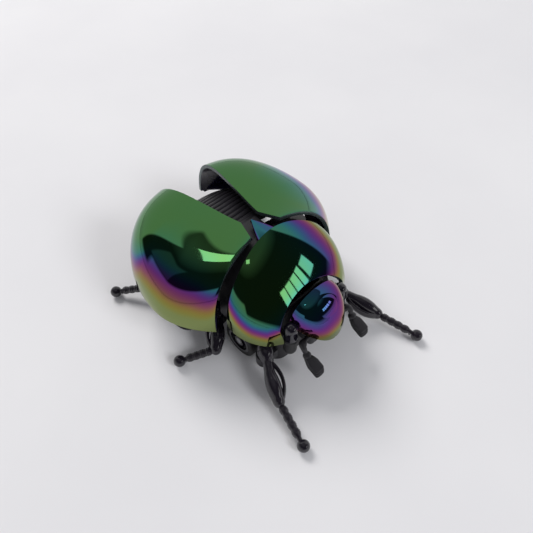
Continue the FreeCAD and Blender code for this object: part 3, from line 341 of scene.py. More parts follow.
# Along the lower edge each cover turns inwards as a flat lip, which stiffens the moulding.
LIP_DEPTH = 5.2
edge_line = closed_cover[:, 0]
along_edge = np.gradient(edge_line[:, :2], axis=0)
along_edge /= np.linalg.norm(along_edge, axis=1, keepdims=True)
inwards = np.stack([-along_edge[:, 1], along_edge[:, 0]], -1)
reach = np.minimum(LIP_DEPTH + 2.6 * unit((8 - edge_line[:, 1]) / 12), edge_line[:, 0] * 0.45)
depths = 0.7 + np.linspace(0, 1, 12)[None, :] * (reach[:, None] - 0.7)
lip_grid = np.empty((len(edge_line), 12, 3))
lip_grid[..., :2] = edge_line[:, None, :2] + depths[..., None] * inwards[:, None, :]
lip_grid[..., 2] = edge_line[:, None, 2] + 0.5 - 0.3 * (depths / LIP_DEPTH) ** 2
for side, hand in ((1, "left"), (-1, "right")):
    open_lip = turned(lip_grid, HINGE, -WING_OPEN) * [side, 1, 1]
    lip = piece(f"wing_lip_{hand}", [(open_lip, False, open_lip.mean(1) + [0, 0, 8])])
    lip.data.materials.append(shell_inside)
    wall = lip.modifiers.new("wall", "SOLIDIFY")
    wall.thickness, wall.offset = 0.001, -1
    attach(lip, f"wing_{hand}")

# ------------------------------------------------------------------------------------------ wing arms
# Each cover hangs on a flat moulded arm: an eye round the steel pin, a plate that runs back above the thorax,
# and a post up to the inside of the shell.

ARM_LOW, ARM_THICK, ARM_HALF = 37.6, 1.6, 3.0
ARM_END = WING_FRONT + 5.3
plated_black = moulded("arm plastic", (0.012, 0.011, 0.016), (0.2, 0.38))


def slab(outline, low, high, round_over=0.3):
    """A flat plate: rings of its outline from the lower centre to the upper centre, with eased edges."""
    middle = outline.mean(0)
    rings = []
    for inset, level in ((None, low), (round_over, low), (0, low + round_over), (0, high - round_over),
                         (round_over, high), (None, high)):
        away = outline - middle
        reach = np.linalg.norm(away, axis=1, keepdims=True)
        ring = middle + away * (0 if inset is None else 1 - inset / reach)
        rings.append(np.column_stack([ring, np.full(len(ring), level)]))
    return np.array(rings)


def stadium(start, end, half_width, count=48):
    """The outline of a bar with round ends, from start to end in plan."""
    start, end = np.asarray(start, float), np.asarray(end, float)
    along = (end - start) / np.linalg.norm(end - start)
    turn = np.linspace(0, 2 * np.pi, count, endpoint=False)
    circle = half_width * (np.cos(turn)[:, None] * along + np.sin(turn)[:, None] * [-along[1], along[0]])
    return circle + np.where(np.cos(turn)[:, None] > 0, end, start)


def block(centre, half, round_over=0.3, count=48, squareness=0.35):
    """An upright bar with a rounded square section between two levels, half = (x, y) and (low, high)."""
    turn = np.linspace(0, 2 * np.pi, count, endpoint=False)
    box_x, box_y = np.cos(turn), np.sin(turn)
    square = np.stack([np.sign(box_x) * np.abs(box_x) ** squareness * half[0],
                       np.sign(box_y) * np.abs(box_y) ** squareness * half[1]], -1)
    return slab(square + centre, half[2], half[3], round_over)


for side, hand in ((1, "left"), (-1, "right")):
    plate = slab(stadium(HINGE, (HINGE[0], ARM_END - ARM_HALF), ARM_HALF), ARM_LOW, ARM_LOW + ARM_THICK)
    post = block((HINGE[0], ARM_END - 1.2), (2.0, 1.2, ARM_LOW + 0.5, 44.6))
    parts = []
    for grid in (plate, post):
        grid = turned(grid, HINGE, -WING_OPEN) * [side, 1, 1]
        parts.append((grid, True, grid.mean((0, 1))))
    arm = piece(f"wing_arm_{hand}", parts)
    arm.data.materials.append(plated_black)
    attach(arm, f"wing_{hand}")

# Beside the deck a thin black flange fills the space between the thorax and each cover's lower edge.
for side, hand in ((1, "left"), (-1, "right")):
    rim = block((29.6 * side, -3.0), (8.6, 11.0, 16.9, 17.6), 0.2, 96, 0.6)
    flange = piece(f"deck_flange_{hand}", [(rim, True, (29.6 * side, -3.0, 17.25))])
    flange.data.materials.append(plated_black)
    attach(flange, "hull")

# ------------------------------------------------------------------------------------------ pronotum
# The shell over the thorax: one plated moulding that arches from side to side, with an upright rear edge
# and a front edge that frames the head. Its front lower corners fold inwards along a sharp crease.


def parabola(y, rear, middle, front):
    """The parabola through its values at the stations -18, -32 and -46."""
    a, b, c = -18.0, -32.0, -46.0
    return (rear * (y - b) * (y - c) / ((a - b) * (a - c)) + middle * (y - a) * (y - c) / ((b - a) * (b - c))
            + front * (y - a) * (y - b) / ((c - a) * (c - b)))


def pronotum_skin(station, angle):
    """Arches whose width, top and edge follow parabolas along the body, between two curved end edges."""
    sine = unit(np.sin(angle))
    rear, front = -18.6 - 5.2 * (1 - sine**2.5), -37.0 - 5.0 * (1 - sine**1.95)
    y = rear + (front - rear) * station
    x, z = arch(parabola(y, 24.5, 25.6, 12.7), parabola(y, 22.0, 18.7, 17.8), parabola(y, 50.0, 40.1, 24.0),
                1.04, 0.61, angle)
    low = unit(1 - np.abs(np.cos(angle)) ** 6) ** 0.5
    fold = np.maximum(0, 3.0 - (y - front)) * (1 - unit(low / 0.75) ** 2)
    return np.stack([x - np.sign(x) * 0.7 * fold, y, z], -1), y - front


def eased(count, low, high):
    """Angles between low and high degrees, closer together at both ends."""
    share = (1 - np.cos(np.linspace(0, np.pi, count))) / 2
    return np.radians(low + (high - low) * share)


pronotum_film = plated_skin("pronotum film", 1.35)
station, angle = np.meshgrid(np.linspace(0, 1, 130), eased(260, 1, 179), indexing="ij")
pronotum_grid, from_front = pronotum_skin(station, angle)
# The pronotum's colour is painted by height and along the body: a painted reflection colour that shifts from
# green on top towards blue low down and at the rear.
pronotum_painted_tint = np.interp(pronotum_grid[..., 2], [20, 23, 26, 29, 32, 35, 45],
                             [0.45, 0.4, 0.3, 0.2, 0.12, 0.05, 0.0])
pronotum_painted_tint += np.interp(pronotum_grid[..., 1], [-34, -27], [0.0, 0.1]) + fringe(from_front)
spine = np.stack([np.zeros(130), np.linspace(-19, -38, 130), np.full(130, 12.0)], -1)
pronotum = piece("pronotum_skin", [(pronotum_grid, False, spine)], pronotum_painted_tint)
for finish in (pronotum_film, shell_inside, shell_rim):
    pronotum.data.materials.append(finish)
thicken(pronotum, SHELL_WALL)
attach(pronotum, "hull")
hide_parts("pronotum_shell")

# ------------------------------------------------------------------------------------------ head
# The shield-shaped head plate, plated like the others and notched at both sides for the eyes.

EYE_AT = np.array([13.0, -42.6])
NOTCH_RADIUS, NOTCH_LEVEL = 3.0, 26.0


def head_skin(station, angle):
    """Arches that shrink towards the front tip, where the shield closes as a rounded point. The middle is
    flattened: a point's depth under the forehead, along the 45 degree line, is cut where it is small."""
    y = -40.2 - 12.1 * np.sin(station * np.pi / 2)
    along = unit((y + 41.5) / -10.8)
    x, z = arch(11.6 * (1 - along**1.4) ** 0.42, 18.1 + 5.9 * (1 - unit((y + 40.2) / -12.1)),
                18.1 + 17.4 * (1 - along**2.4) ** 0.467, 0.94, 0.67, angle)
    depth = np.maximum(0, 79.8 - (z - y)) / math.sqrt(2)
    lift = depth * 0.4 * np.exp(-((depth / 6.0) ** 2)) / math.sqrt(2)
    return np.stack([x, y - lift, z + lift], -1)


def eye_notch(stations, floor):
    """The lowest free angle of each station: just above the round-topped upright bore for the eye."""
    tries = np.radians(np.linspace(0.5, 60, 600))
    grid = head_skin(np.repeat(stations[:, None], 600, 1), np.repeat(tries[None, :], len(stations), 0))
    apart = ((grid[..., 0] - EYE_AT[0]) ** 2 + (grid[..., 1] - EYE_AT[1]) ** 2
             + np.maximum(0, grid[..., 2] - NOTCH_LEVEL) ** 2)
    inside = apart < NOTCH_RADIUS**2
    return np.maximum(floor, np.where(inside, tries, 0).max(1))


head_film = plated_skin("head film", 0.5)
stations = np.linspace(0, 1, 160) * 0.985
lowest = eye_notch(stations, math.radians(4))
shares = (1 - np.cos(np.linspace(0, np.pi, 200))) / 2
angle = lowest[:, None] + (np.pi - 2 * lowest[:, None]) * shares[None, :]
head_grid = head_skin(np.repeat(stations[:, None], 200, 1), angle)
# The head's colour is painted by height: a painted reflection colour, blue-green on top and gold towards the
# lower edge.
head_painted_tint = np.interp(head_grid[..., 2], [18, 21, 25, 28, 31, 36], [0.88, 0.74, 0.54, 0.44, 0.42, 0.39])
spine = np.stack([np.zeros(160), head_grid[:, 0, 1], np.full(160, 14.0)], -1)
head_plate = piece("head_plate", [(head_grid, False, spine)], head_painted_tint)
for finish in (head_film, shell_inside, shell_rim):
    head_plate.data.materials.append(finish)
thicken(head_plate, SHELL_WALL * 0.9, 0.25)
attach(head_plate, "hull")
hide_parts("head_shell")

# ------------------------------------------------------------------------------------------ scutellum
# A small plated triangle between the wing covers, two facets that meet in a blunt ridge along the middle.

SCUTELLUM_BASE, SCUTELLUM_APEX, SCUTELLUM_HALF, SCUTELLUM_TOP = -17.7, -8.5, 5.1, 47.3
across, along = np.meshgrid(np.linspace(-1, 1, 61), np.linspace(0, 0.985, 60) ** 0.8, indexing="xy")
reach = SCUTELLUM_HALF * (1 - along**1.1) ** 0.95
x = across * reach
y = SCUTELLUM_BASE + (SCUTELLUM_APEX - SCUTELLUM_BASE) * along
z = SCUTELLUM_TOP - 0.16 * np.sqrt(x**2 + 0.15) - 0.5 * unit((np.abs(across) - 0.75) / 0.25) ** 2
plate_grid = np.stack([x, y, z], -1)
# The scutellum's colour is painted by side: a painted reflection colour, shifted towards violet on the left
# facet and along the right edge.
scutellum_painted_tint = 0.36 + 0.25 * unit((across - 0.55) / 0.4) + 0.3 * unit((-across - 0.8) / 0.2)
scutellum = piece("scutellum_skin", [(plate_grid, False, (0, -14, 30))], scutellum_painted_tint)
for finish in (plated_skin("scutellum film", 0.3), shell_inside, shell_rim):
    scutellum.data.materials.append(finish)
thicken(scutellum, 1.2, 0.2)
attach(scutellum, "hull")
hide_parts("scutellum")

# ------------------------------------------------------------------------------------------ abdomen
# The black back under the wing covers: a satin moulding with a dozen rounded ribs from side to side, like the
# segments of the insect, and a plain front where it meets the thorax.

RIB_PITCH, RIB_HEIGHT, RIB_FIRST, RIB_LAST = 2.35, 0.75, -3.2, 27.0
ABDOMEN_FRONT, ABDOMEN_REAR, DECK_TOP = -6.0, 31.6, 17.6


def abdomen_skin(station, angle):
    """Rounded arches that shrink to the rear, raised by ribs: |sin| waves along Y, bowed in the middle."""
    y = ABDOMEN_FRONT + (ABDOMEN_REAR - ABDOMEN_FRONT) * station
    along = unit((y - ABDOMEN_FRONT) / (ABDOMEN_REAR - ABDOMEN_FRONT))
    width = 30 * (1 - along**3) ** 0.4 * (0.84 + 0.16 * np.sin(np.pi * along))
    top = DECK_TOP + (41.8 - DECK_TOP) * (1 - 0.35 * along**2.2) * (1 - along**6) ** 0.45
    x, z = arch(width, DECK_TOP, top, 0.8, 0.75, angle)
    wave = y - RIB_FIRST - 0.004 * x**2
    ribbed = unit(wave / 0.8) * unit((RIB_LAST - y) / 1.5)
    rib = np.abs(np.sin(np.pi * wave / RIB_PITCH)) ** 0.6
    return np.stack([x, y, z + RIB_HEIGHT * ribbed * (rib - 1) * unit(np.sin(angle) * 3)], -1)


satin_black = moulded("satin black", (0.016, 0.015, 0.018), (0.3, 0.5), (2200.0, 0.00002))
station, angle = np.meshgrid(np.linspace(0, 0.985, 400), eased(100, 1, 179), indexing="ij")
abdomen_grid = abdomen_skin(station, angle)
spine = np.stack([np.zeros(400), abdomen_grid[:, 0, 1], np.full(400, 12.0)], -1)
abdomen = piece("abdomen_ribs", [(abdomen_grid, False, spine)])
abdomen.data.materials.append(satin_black)
wall = abdomen.modifiers.new("wall", "SOLIDIFY")
wall.thickness, wall.offset = 0.0014, -1
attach(abdomen, "hull")
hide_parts("abdomen_top")

# ------------------------------------------------------------------------------------------ eyes
# Each eye is a polished dome on a matt round-ended cheek, held to the head core by two pegs.

gloss_black = moulded("gloss black", (0.011, 0.009, 0.014), (0.1, 0.2), (900.0, 0.000012), Coat_Weight=0.35,
                      Coat_Roughness=0.08)
eye_polish = moulded("eye polish", (0.006, 0.005, 0.01), (0.05, 0.12), (700.0, 0.00001), Coat_Weight=0.6,
                     Coat_Roughness=0.04)
matt_black = moulded("matt black", (0.02, 0.02, 0.021), (0.42, 0.6), (2600.0, 0.00003))


def turned_piece(radius, level, at, around=64):
    """A profile of radii and heights turned about the upright line at a point in plan."""
    turn = np.linspace(0, 2 * np.pi, around, endpoint=False)
    ring = np.stack([np.cos(turn), np.sin(turn)], -1)
    grid = np.empty((len(radius), around, 3))
    grid[..., :2] = np.asarray(at) + radius[:, None, None] * ring
    grid[..., 2] = level[:, None]
    return grid


dome = np.linspace(0, np.pi / 2, 24)
EYE_RADIUS, EYE_FOOT, CHEEK_TOP = 2.6, 20.45, 20.4
for side, hand in ((1, "left"), (-1, "right")):
    at = EYE_AT * [side, 1]
    radius = np.concatenate([[0.001, 2.0], 2.0 + 0.6 * np.sin(dome), EYE_RADIUS * np.cos(dome)])
    level = np.concatenate([[EYE_FOOT, EYE_FOOT], 21.1 - 0.6 * np.cos(dome),
                            NOTCH_LEVEL + (EYE_RADIUS - 0.1) * np.sin(dome)])
    grid = turned_piece(np.maximum(radius, 0.001), level, at)
    eye = piece(f"eye_dome_{hand}", [(grid, True, (*at, 24.0))])
    eye.data.materials.append(eye_polish)
    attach(eye, "hull")
    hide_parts(f"eye_{hand}")
    radius = np.concatenate([EYE_RADIUS * np.sin(dome), 2.0 + 0.6 * np.cos(dome), [2.0, 0.001]])
    level = np.concatenate([14.6 - (EYE_RADIUS + 0.1) * np.cos(dome), 19.7 + 0.6 * np.sin(dome),
                            [CHEEK_TOP, CHEEK_TOP]])
    grid = turned_piece(np.maximum(radius, 0.001), level, at)
    cheek = piece(f"cheek_pad_{hand}", [(grid, True, (*at, 17.0))])
    cheek.data.materials.append(matt_black)
    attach(cheek, "hull")
    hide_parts(f"cheek_{hand}")

# ------------------------------------------------------------------------------------------ antennae
# Elbowed arms on pegs in the head core, each with a flat club of three leaves.


def through(points, count):
    """A smooth path through a few points: a Catmull-Rom curve sampled evenly in each span."""
    points = np.asarray(points, float)
    ends = np.vstack([2 * points[0] - points[1], points, 2 * points[-1] - points[-2]])
    t = np.linspace(0, 1, count, endpoint=False)[:, None]
    spans = []
    for k in range(len(points) - 1):
        a, b, c, d = ends[k:k + 4]
        spans.append(0.5 * (2 * b + (c - a) * t + (2 * a - 5 * b + 4 * c - d) * t**2
                            + (3 * b - a - 3 * c + d) * t**3))
    return np.vstack(spans + [points[-1:]])


def carried(path, wide, high, up=(0, 0, 1), around=40, squareness=1.0):
    """Rings carried along a path: each lies across it, wide to the sides and high along up."""
    ahead = np.gradient(path, axis=0)
    ahead /= np.linalg.norm(ahead, axis=1, keepdims=True)
    level = np.cross(ahead, np.broadcast_to(np.asarray(up, float), path.shape))
    level /= np.linalg.norm(level, axis=1, keepdims=True)
    above = np.cross(level, ahead)
    turn = np.linspace(0, 2 * np.pi, around, endpoint=False)
    u = np.sign(np.cos(turn)) * np.abs(np.cos(turn)) ** squareness
    v = np.sign(np.sin(turn)) * np.abs(np.sin(turn)) ** squareness
    wide, high = (np.broadcast_to(np.asarray(value, float), len(path)) for value in (wide, high))
    return (path[:, None] + (wide[:, None] * u)[..., None] * level[:, None]
            + (high[:, None] * v)[..., None] * above[:, None])


def lobe(distance, middle, half_length, reach):
    """The radius of an ellipsoid lobe at a distance along a path, 0 outside it."""
    return reach * np.sqrt(unit(1 - ((distance - middle) / half_length) ** 2))


def blended(*radii):
    """Several lobes as one body: a soft maximum, the sixth root of the sum of sixth powers."""
    return np.maximum(sum(radius**6 for radius in radii) ** (1 / 6), 0.004)


def measured(path):
    """The distance along a path at each of its points."""
    return np.concatenate([[0], np.cumsum(np.linalg.norm(np.diff(path, axis=0), axis=1))])


ARM_ROUTE = [(6.6, -45.4, 17.4), (8.6, -45.6, 17.6), (11.4, -47.2, 20.2), (12.5, -48.6, 20.2),
             (12.4, -49.8, 18.2), (12.4, -50.8, 16.8)]
CLUB_START, CLUB_END = np.array([12.4, -49.9, 16.7]), np.array([12.3, -58.2, 13.0])
for side, hand in ((1, "left"), (-1, "right")):
    route = through(ARM_ROUTE, 16)
    far = measured(route)
    girth = blended(lobe(far, far[-1] / 2, far[-1] / 2 + 0.4, 1.15), lobe(far, far[32], 2.2, 1.45),
                    lobe(far, far[-1] - 0.6, 1.5, 1.6))
    grids = [carried(route, girth, girth)]
    peg = through([(2.5, -45.4, 17.4), (5.0, -45.4, 17.4), (8.4, -45.4, 17.4)], 8)
    round_ends = 0.95 * np.sqrt(unit(1 - np.linspace(-1, 1, len(peg)) ** 8)) + 0.004
    grids.append(carried(peg, round_ends, round_ends))
    run = CLUB_END - CLUB_START
    lift = np.cross([1, 0, 0], run) / np.linalg.norm(run)
    lift = lift * np.sign(lift[2])
    for drop, reach in ((1.05, 0.84), (0.0, 0.93), (-1.05, 1.0)):
        t = np.linspace(0, 1, 60)
        fan = drop * (0.35 + 0.65 * unit(t * 3))
        leaf_path = CLUB_START + run * reach * t[:, None] + lift * fan[:, None]
        spread = (0.9 + 1.25 * unit(t * 2.2) ** 0.8) * np.sqrt(unit(1 - np.abs(2 * t - 1) ** 14)) + 0.004
        thick = (0.62 - 0.12 * t) * np.sqrt(unit(1 - np.abs(2 * t - 1) ** 22)) + 0.004
        grids.append(carried(leaf_path, spread, thick, lift, 48, 0.55))
    antenna = piece(f"antenna_club_{hand}", [(grid * [side, 1, 1], True, (grid * [side, 1, 1]).mean(1))
                                             for grid in grids])
    antenna.data.materials.append(satin_black)
    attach(antenna, f"feeler_{hand}")
    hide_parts(f"antenna_{hand}")

# ------------------------------------------------------------------------------------------ legs
# Six glossy one-piece legs: a pegged hip, a femur with a swelling and a narrow slot beside a thin outer
# strand, and a tibia of four soft beads with fine ridges, which ends in a ball. They swivel on their pegs.

HIP_SIDE, HIP_LEVEL, PEG_RADIUS = 20.1, 13.2, 1.5
LEGS = {
    "front": ((-36.6), (28.0, -52.2, 5.2), (32.7, -69.0)),
    "mid": ((-10.0), (30.4, -20.2, 6.4), (42.6, -12.6)),
    "rear": ((14.0), (30.3, 21.2, 7.3), (41.0, 32.6)),
}
BALL = 2.35
for kind, (hip_station, knee, foot) in LEGS.items():
    hip = np.array([HIP_SIDE, hip_station, HIP_LEVEL])
    knee, foot = np.array(knee), np.array([*foot, BALL + 0.35])
    thigh, shin = np.linalg.norm(knee - hip), np.linalg.norm(foot - knee)
    ahead = (knee - hip) / thigh
    outer = np.cross(ahead, [0, 0, 1])
    outer *= np.sign(np.dot(outer, foot - knee)) / np.linalg.norm(outer)
    t = np.linspace(-2.6, thigh + 2.3, 150)
    bow = np.sin(np.pi * unit(t / thigh))
    main_path = hip + t[:, None] * ahead - (0.55 * bow)[:, None] * outer + (0.5 * bow)[:, None] * [0, 0, 1]
    girth = blended(lobe(t, 0.4, 4.4, 3.2), lobe(t, thigh / 2, thigh / 2 + 1.6, 2.1),
                    lobe(t, thigh * 0.72, thigh * 0.36, 3.0), lobe(t, thigh, 2.3, 2.3))
    grids = [carried(main_path, girth * 0.93, girth)]
    u = np.linspace(0.28, 1.0, 90)
    swing = np.sin(np.pi * unit((u - 0.28) / 0.72)) ** 0.75
    strand_path = hip + thigh * u[:, None] * ahead + (1.1 + 2.45 * swing)[:, None] * outer
    grids.append(carried(strand_path, 0.7 + 0 * u, 1.5 + 0 * u))
    t = np.linspace(-1.6, shin + BALL, 240)
    tibia_path = knee + t[:, None] * (foot - knee) / shin
    beads = [lobe(t, shin * share, 2.0, 1.62) for share in (0.2, 0.37, 0.54, 0.71)]
    ridges = 1 + 0.035 * np.sin(2 * np.pi * t / 0.8) * unit(t / 2) * unit((shin - 3 - t) / 1.5)
    girth = blended(lobe(t, shin / 2 - 0.8, shin / 2 + 1.2, 1.22), lobe(t, 0, 1.7, 1.7), *beads) * ridges
    girth = np.maximum(girth, lobe(t, shin, BALL, BALL))
    grids.append(carried(tibia_path, girth, girth))
    spur = through([knee + (foot - knee) * 0.82, knee + (foot - knee) * 0.84 - [0, 0, 1.9]], 10)
    grids.append(carried(spur, np.linspace(0.8, 0.35, len(spur)), np.linspace(0.8, 0.35, len(spur)),
                         (foot - knee) / shin))
    peg = through([hip - [0, 0, 6.2], hip - [0, 0, 3], hip], 8)
    grids.append(carried(peg, PEG_RADIUS - 0.05, PEG_RADIUS - 0.05, (0, 1, 0)))
    for side, hand in ((1, "left"), (-1, "right")):
        sided = [grid * [side, 1, 1] for grid in grids]
        leg = piece(f"leg_{kind}_limb_{hand}", [(grid, True, grid.mean(1)) for grid in sided])
        leg.data.materials.append(gloss_black)
        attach(leg, f"limb_{kind}_{hand}")
        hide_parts(f"leg_{kind}_{hand}")

# ------------------------------------------------------------------------------------------ black body
# The moulded parts that carry everything: thorax housing and collar, deck, belly and head core. They are
# plain satin or matt mouldings that keep their shapes from the frame.


def finish_node(name, material):
    """A part of the frame shows one finish all over."""
    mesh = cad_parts[name].data
    mesh.materials.clear()
    mesh.materials.append(material)


for name in ("thorax_housing", "thorax_collar", "belly_chassis", "battery_door", "head_core"):
    finish_node(name, satin_black)
grey_frame = moulded("grey frame", (0.06, 0.06, 0.065), (0.4, 0.6), (1800.0, 0.00003))
for name in ("deck_plate", "gearbox_frame", "battery_holder"):
    finish_node(name, grey_frame)

# ------------------------------------------------------------------------------------------ wheels and drive
# Rubber tyres on dished black hubs, a steel axle, and a gear train of natural acetal with a brass pinion.


def drawn_metal(name, tint, gloss, stretch):
    """Drawn or rolled metal: fine scratches stretched along one axis vary its gloss and its height."""
    material = bpy.data.materials.new(name)
    make, link = nodes_of(material)
    place = make("TexCoord", -900, 0)
    lay = make("Mapping", -700, 0, Scale=stretch)
    scratches = make("TexNoise", -500, 0, Scale=1.0, Detail=4.0)
    rough = make("MapRange", -300, 100, From_Min=0.3, From_Max=0.7, To_Min=gloss[0], To_Max=gloss[1])
    bump = make("Bump", -300, -200, Strength=0.4, Distance=0.00001)
    tone = make("ValToRGB", -300, 300)
    tone.color_ramp.elements[0].color = colour(*(0.75 * part for part in tint))
    tone.color_ramp.elements[1].color = colour(*tint)
    surface = make("BsdfPrincipled", 0, 0, Metallic=1.0)
    output = make("OutputMaterial", 250, 0)
    link(place.outputs["Object"], lay.inputs["Vector"])
    link(lay.outputs["Vector"], scratches.inputs["Vector"])
    for target in (rough.inputs["Value"], bump.inputs["Height"], tone.inputs["Fac"]):
        link(scratches.outputs["Fac"], target)
    link(tone.outputs["Color"], surface.inputs["Base Color"])
    link(rough.outputs["Result"], surface.inputs["Roughness"])
    link(bump.outputs["Normal"], surface.inputs["Normal"])
    link(surface.outputs["BSDF"], output.inputs["Surface"])
    return material


tyre_rubber = moulded("tyre rubber", (0.018, 0.018, 0.018), (0.62, 0.85), (1500.0, 0.00005))
acetal = moulded("natural acetal", (0.72, 0.70, 0.64), (0.3, 0.45), (900.0, 0.00001), Subsurface_Weight=0.15)
drawn_steel = drawn_metal("drawn steel", (0.6, 0.6, 0.62), (0.15, 0.35), (150.0, 6000.0, 6000.0))
pin_steel = drawn_metal("pin steel", (0.55, 0.55, 0.57), (0.15, 0.35), (5000.0, 5000.0, 200.0))
can_steel = drawn_metal("zinc-plated can", (0.5, 0.5, 0.52), (0.2, 0.42), (400.0, 3000.0, 3000.0))
brass = drawn_metal("brass", (0.7, 0.5, 0.22), (0.18, 0.35), (3000.0, 900.0, 900.0))
cell_nickel = drawn_metal("nickel-plated cell", (0.66, 0.65, 0.62), (0.08, 0.2), (2500.0, 500.0, 500.0))
for hand in ("left", "right"):
    finish_node(f"tyre_{hand}", tyre_rubber)
    finish_node(f"wheel_hub_{hand}", gloss_black)
    finish_node(f"wing_pin_{hand}", pin_steel)
for name, finish in (
    ("drive_axle", drawn_steel), ("axle_gear", acetal), ("reduction_gear", acetal), ("gear_pin", drawn_steel),
    ("motor", can_steel), ("motor_shaft", drawn_steel), ("motor_pinion", brass), ("rear_roller", gloss_black),
    ("roller_pin", drawn_steel), ("button_cells", cell_nickel), ("battery_contacts", brass),
    ("door_screw", pin_steel), ("case_screws", pin_steel), ("switch_knob", gloss_black),
    ("switch_body", matt_black), ("board_parts", matt_black),
):
    finish_node(name, finish)

# ------------------------------------------------------------------------------------------ circuit board
# A small lacquered glass-fibre board on standoffs: green lacquer with lighter copper tracks beneath.

board = bpy.data.materials.new("board lacquer")
make, link = nodes_of(board)
place = make("TexCoord", -900, 0)
tracks = make("TexBrick", -600, 100, Color1=colour(0.02, 0.16, 0.07), Color2=colour(0.015, 0.13, 0.06),
              Mortar=colour(0.06, 0.3, 0.12), Scale=420.0, Mortar_Size=0.04)
cloth = make("TexNoise", -600, -200, Scale=3000.0, Detail=2.0)
bump = make("Bump", -300, -200, Strength=0.3, Distance=0.00002)
surface = make("BsdfPrincipled", 0, 0, Roughness=0.28, Coat_Weight=0.4)
output = make("OutputMaterial", 250, 0)
link(place.outputs["Object"], tracks.inputs["Vector"])
link(place.outputs["Object"], cloth.inputs["Vector"])
link(cloth.outputs["Fac"], bump.inputs["Height"])
link(tracks.outputs["Color"], surface.inputs["Base Color"])
link(bump.outputs["Normal"], surface.inputs["Normal"])
link(surface.outputs["BSDF"], output.inputs["Surface"])
finish_node("circuit_board", board)

# ------------------------------------------------------------------------------------------ floor
# A plain pale table with the faint tooth of paper.

floor_mesh = bpy.data.meshes.new("floor")
floor_mesh.from_pydata([(-3, -3, 0), (3, -3, 0), (3, 3, 0), (-3, 3, 0)], [], [(0, 1, 2, 3)])
floor = bpy.data.objects.new("floor", floor_mesh)
bpy.context.scene.collection.objects.link(floor)
paper = bpy.data.materials.new("pale paper")
make, link = nodes_of(paper)
place = make("TexCoord", -900, 0)
mottle = make("TexNoise", -600, 0, Scale=9.0, Detail=4.0)
tone = make("ValToRGB", -400, 0)
tone.color_ramp.elements[0].position, tone.color_ramp.elements[1].position = 0.3, 0.7
tone.color_ramp.elements[0].color = colour(0.70, 0.695, 0.71)
tone.color_ramp.elements[1].color = colour(0.74, 0.735, 0.745)
surface = make("BsdfPrincipled", 0, 0, Roughness=0.85)
output = make("OutputMaterial", 250, 0)
link(place.outputs["Object"], mottle.inputs["Vector"])
link(mottle.outputs["Fac"], tone.inputs["Fac"])
link(tone.outputs["Color"], surface.inputs["Base Color"])
link(surface.outputs["BSDF"], output.inputs["Surface"])
floor_mesh.materials.append(paper)

# ------------------------------------------------------------------------------------------ light
# Diffuse surfaces see an even pale sky. Mirror surfaces see a studio: one long bright wall behind and to the
# beetle's left, a dark side with windows, a dim ceiling and a pale band just above the table.
# Bearings are degrees from the beetle's front (-Y) towards its left (+X), heights degrees above the table.

world = bpy.data.worlds.new("studio")
bpy.context.scene.world = world
make, link = nodes_of(world)


def number(operation, *values, clamp=False):
    """A Math node fed by numbers or by other nodes' outputs; returns its output."""
    node = make("Math", 0, 0, operation=operation)
    node.use_clamp = clamp
    for socket, value in zip(node.inputs, values):
        if isinstance(value, (int, float)):
            socket.default_value = value
        else:
            link(value, socket)
    return node.outputs[0]


ray = make("TexCoord", -1600, 0)
split = make("SeparateXYZ", -1400, 0)
link(ray.outputs["Generated"], split.inputs[0])
ray_x, ray_y, ray_z = split.outputs
height = number("DEGREES", number("ARCSINE", ray_z))


def bearing_from(centre):
    """The bearing of the ray measured from a centre bearing, -180 to 180 degrees."""
    sine, cosine = math.sin(math.radians(centre)), math.cos(math.radians(centre))
    across = number("ADD", number("MULTIPLY", ray_x, cosine), number("MULTIPLY", ray_y, sine))
    ahead = number("SUBTRACT", number("MULTIPLY", ray_x, sine), number("MULTIPLY", ray_y, cosine))
    return number("DEGREES", number("ARCTAN2", across, ahead))


def between(value, low, high, soft):
    """1 between low and high, falling to 0 over soft degrees outside."""
    rise = number("DIVIDE", number("SUBTRACT", value, low - soft), soft, clamp=True)
    fall = number("DIVIDE", number("SUBTRACT", high + soft, value), soft, clamp=True)
    return number("MULTIPLY", rise, fall)


def panel(low, high, bottom, top, soft):
    """A patch of the studio between two bearings and two heights."""
    centre = (low + high) / 2
    half = (high - low) / 2
    across = between(bearing_from(centre), -half, half, soft)
    return number("MULTIPLY", across, between(height, bottom, top, soft))


def over(under, mask, value):
    """value laid over the brightness under it where the mask is 1."""
    mix = make("Mix", 0, 0, data_type="FLOAT")
    link(mask, mix.inputs[0])
    for socket, source in ((mix.inputs[2], under), (mix.inputs[3], value)):
        if isinstance(source, (int, float)):
            socket.default_value = source
        else:
            link(source, socket)
    return mix.outputs[0]


glow = over(0.03, between(height, 62, 100, 12), 0.17)
glow = over(glow, panel(60, 205, -90, 56, 2), 0.7)
glow = over(glow, panel(-135, -62, -90, 19, 4), 0.6)
glow = over(glow, panel(-170, -130, -90, 4, 5), 0.6)
glow = over(glow, panel(-62, 60, -90, 3, 6), 0.6)
glow = over(glow, panel(-140, -112, 24, 46, 2), 0.12)
bars = number("GREATER_THAN", number("FRACT", number("DIVIDE", bearing_from(28), 7.0)), 0.16)
glow = over(glow, number("MULTIPLY", panel(8, 34, 19, 29, 0.6), bars), 2.6)
glow = over(glow, panel(37, 45, 19, 28, 0.6), 2.2)
room = make("Background", 0, 0, Strength=1.0)
link(glow, room.inputs["Color"])
sky = make("Background", 0, -200, Color=colour(0.95, 0.96, 1.0), Strength=0.40)
path = make("LightPath", 0, 300)
choice = make("MixShader", 300, 0)
link(path.outputs["Is Glossy Ray"], choice.inputs["Fac"])
link(sky.outputs[0], choice.inputs[1])
link(room.outputs[0], choice.inputs[2])
output = make("OutputWorld", 500, 0)
link(choice.outputs[0], output.inputs["Surface"])


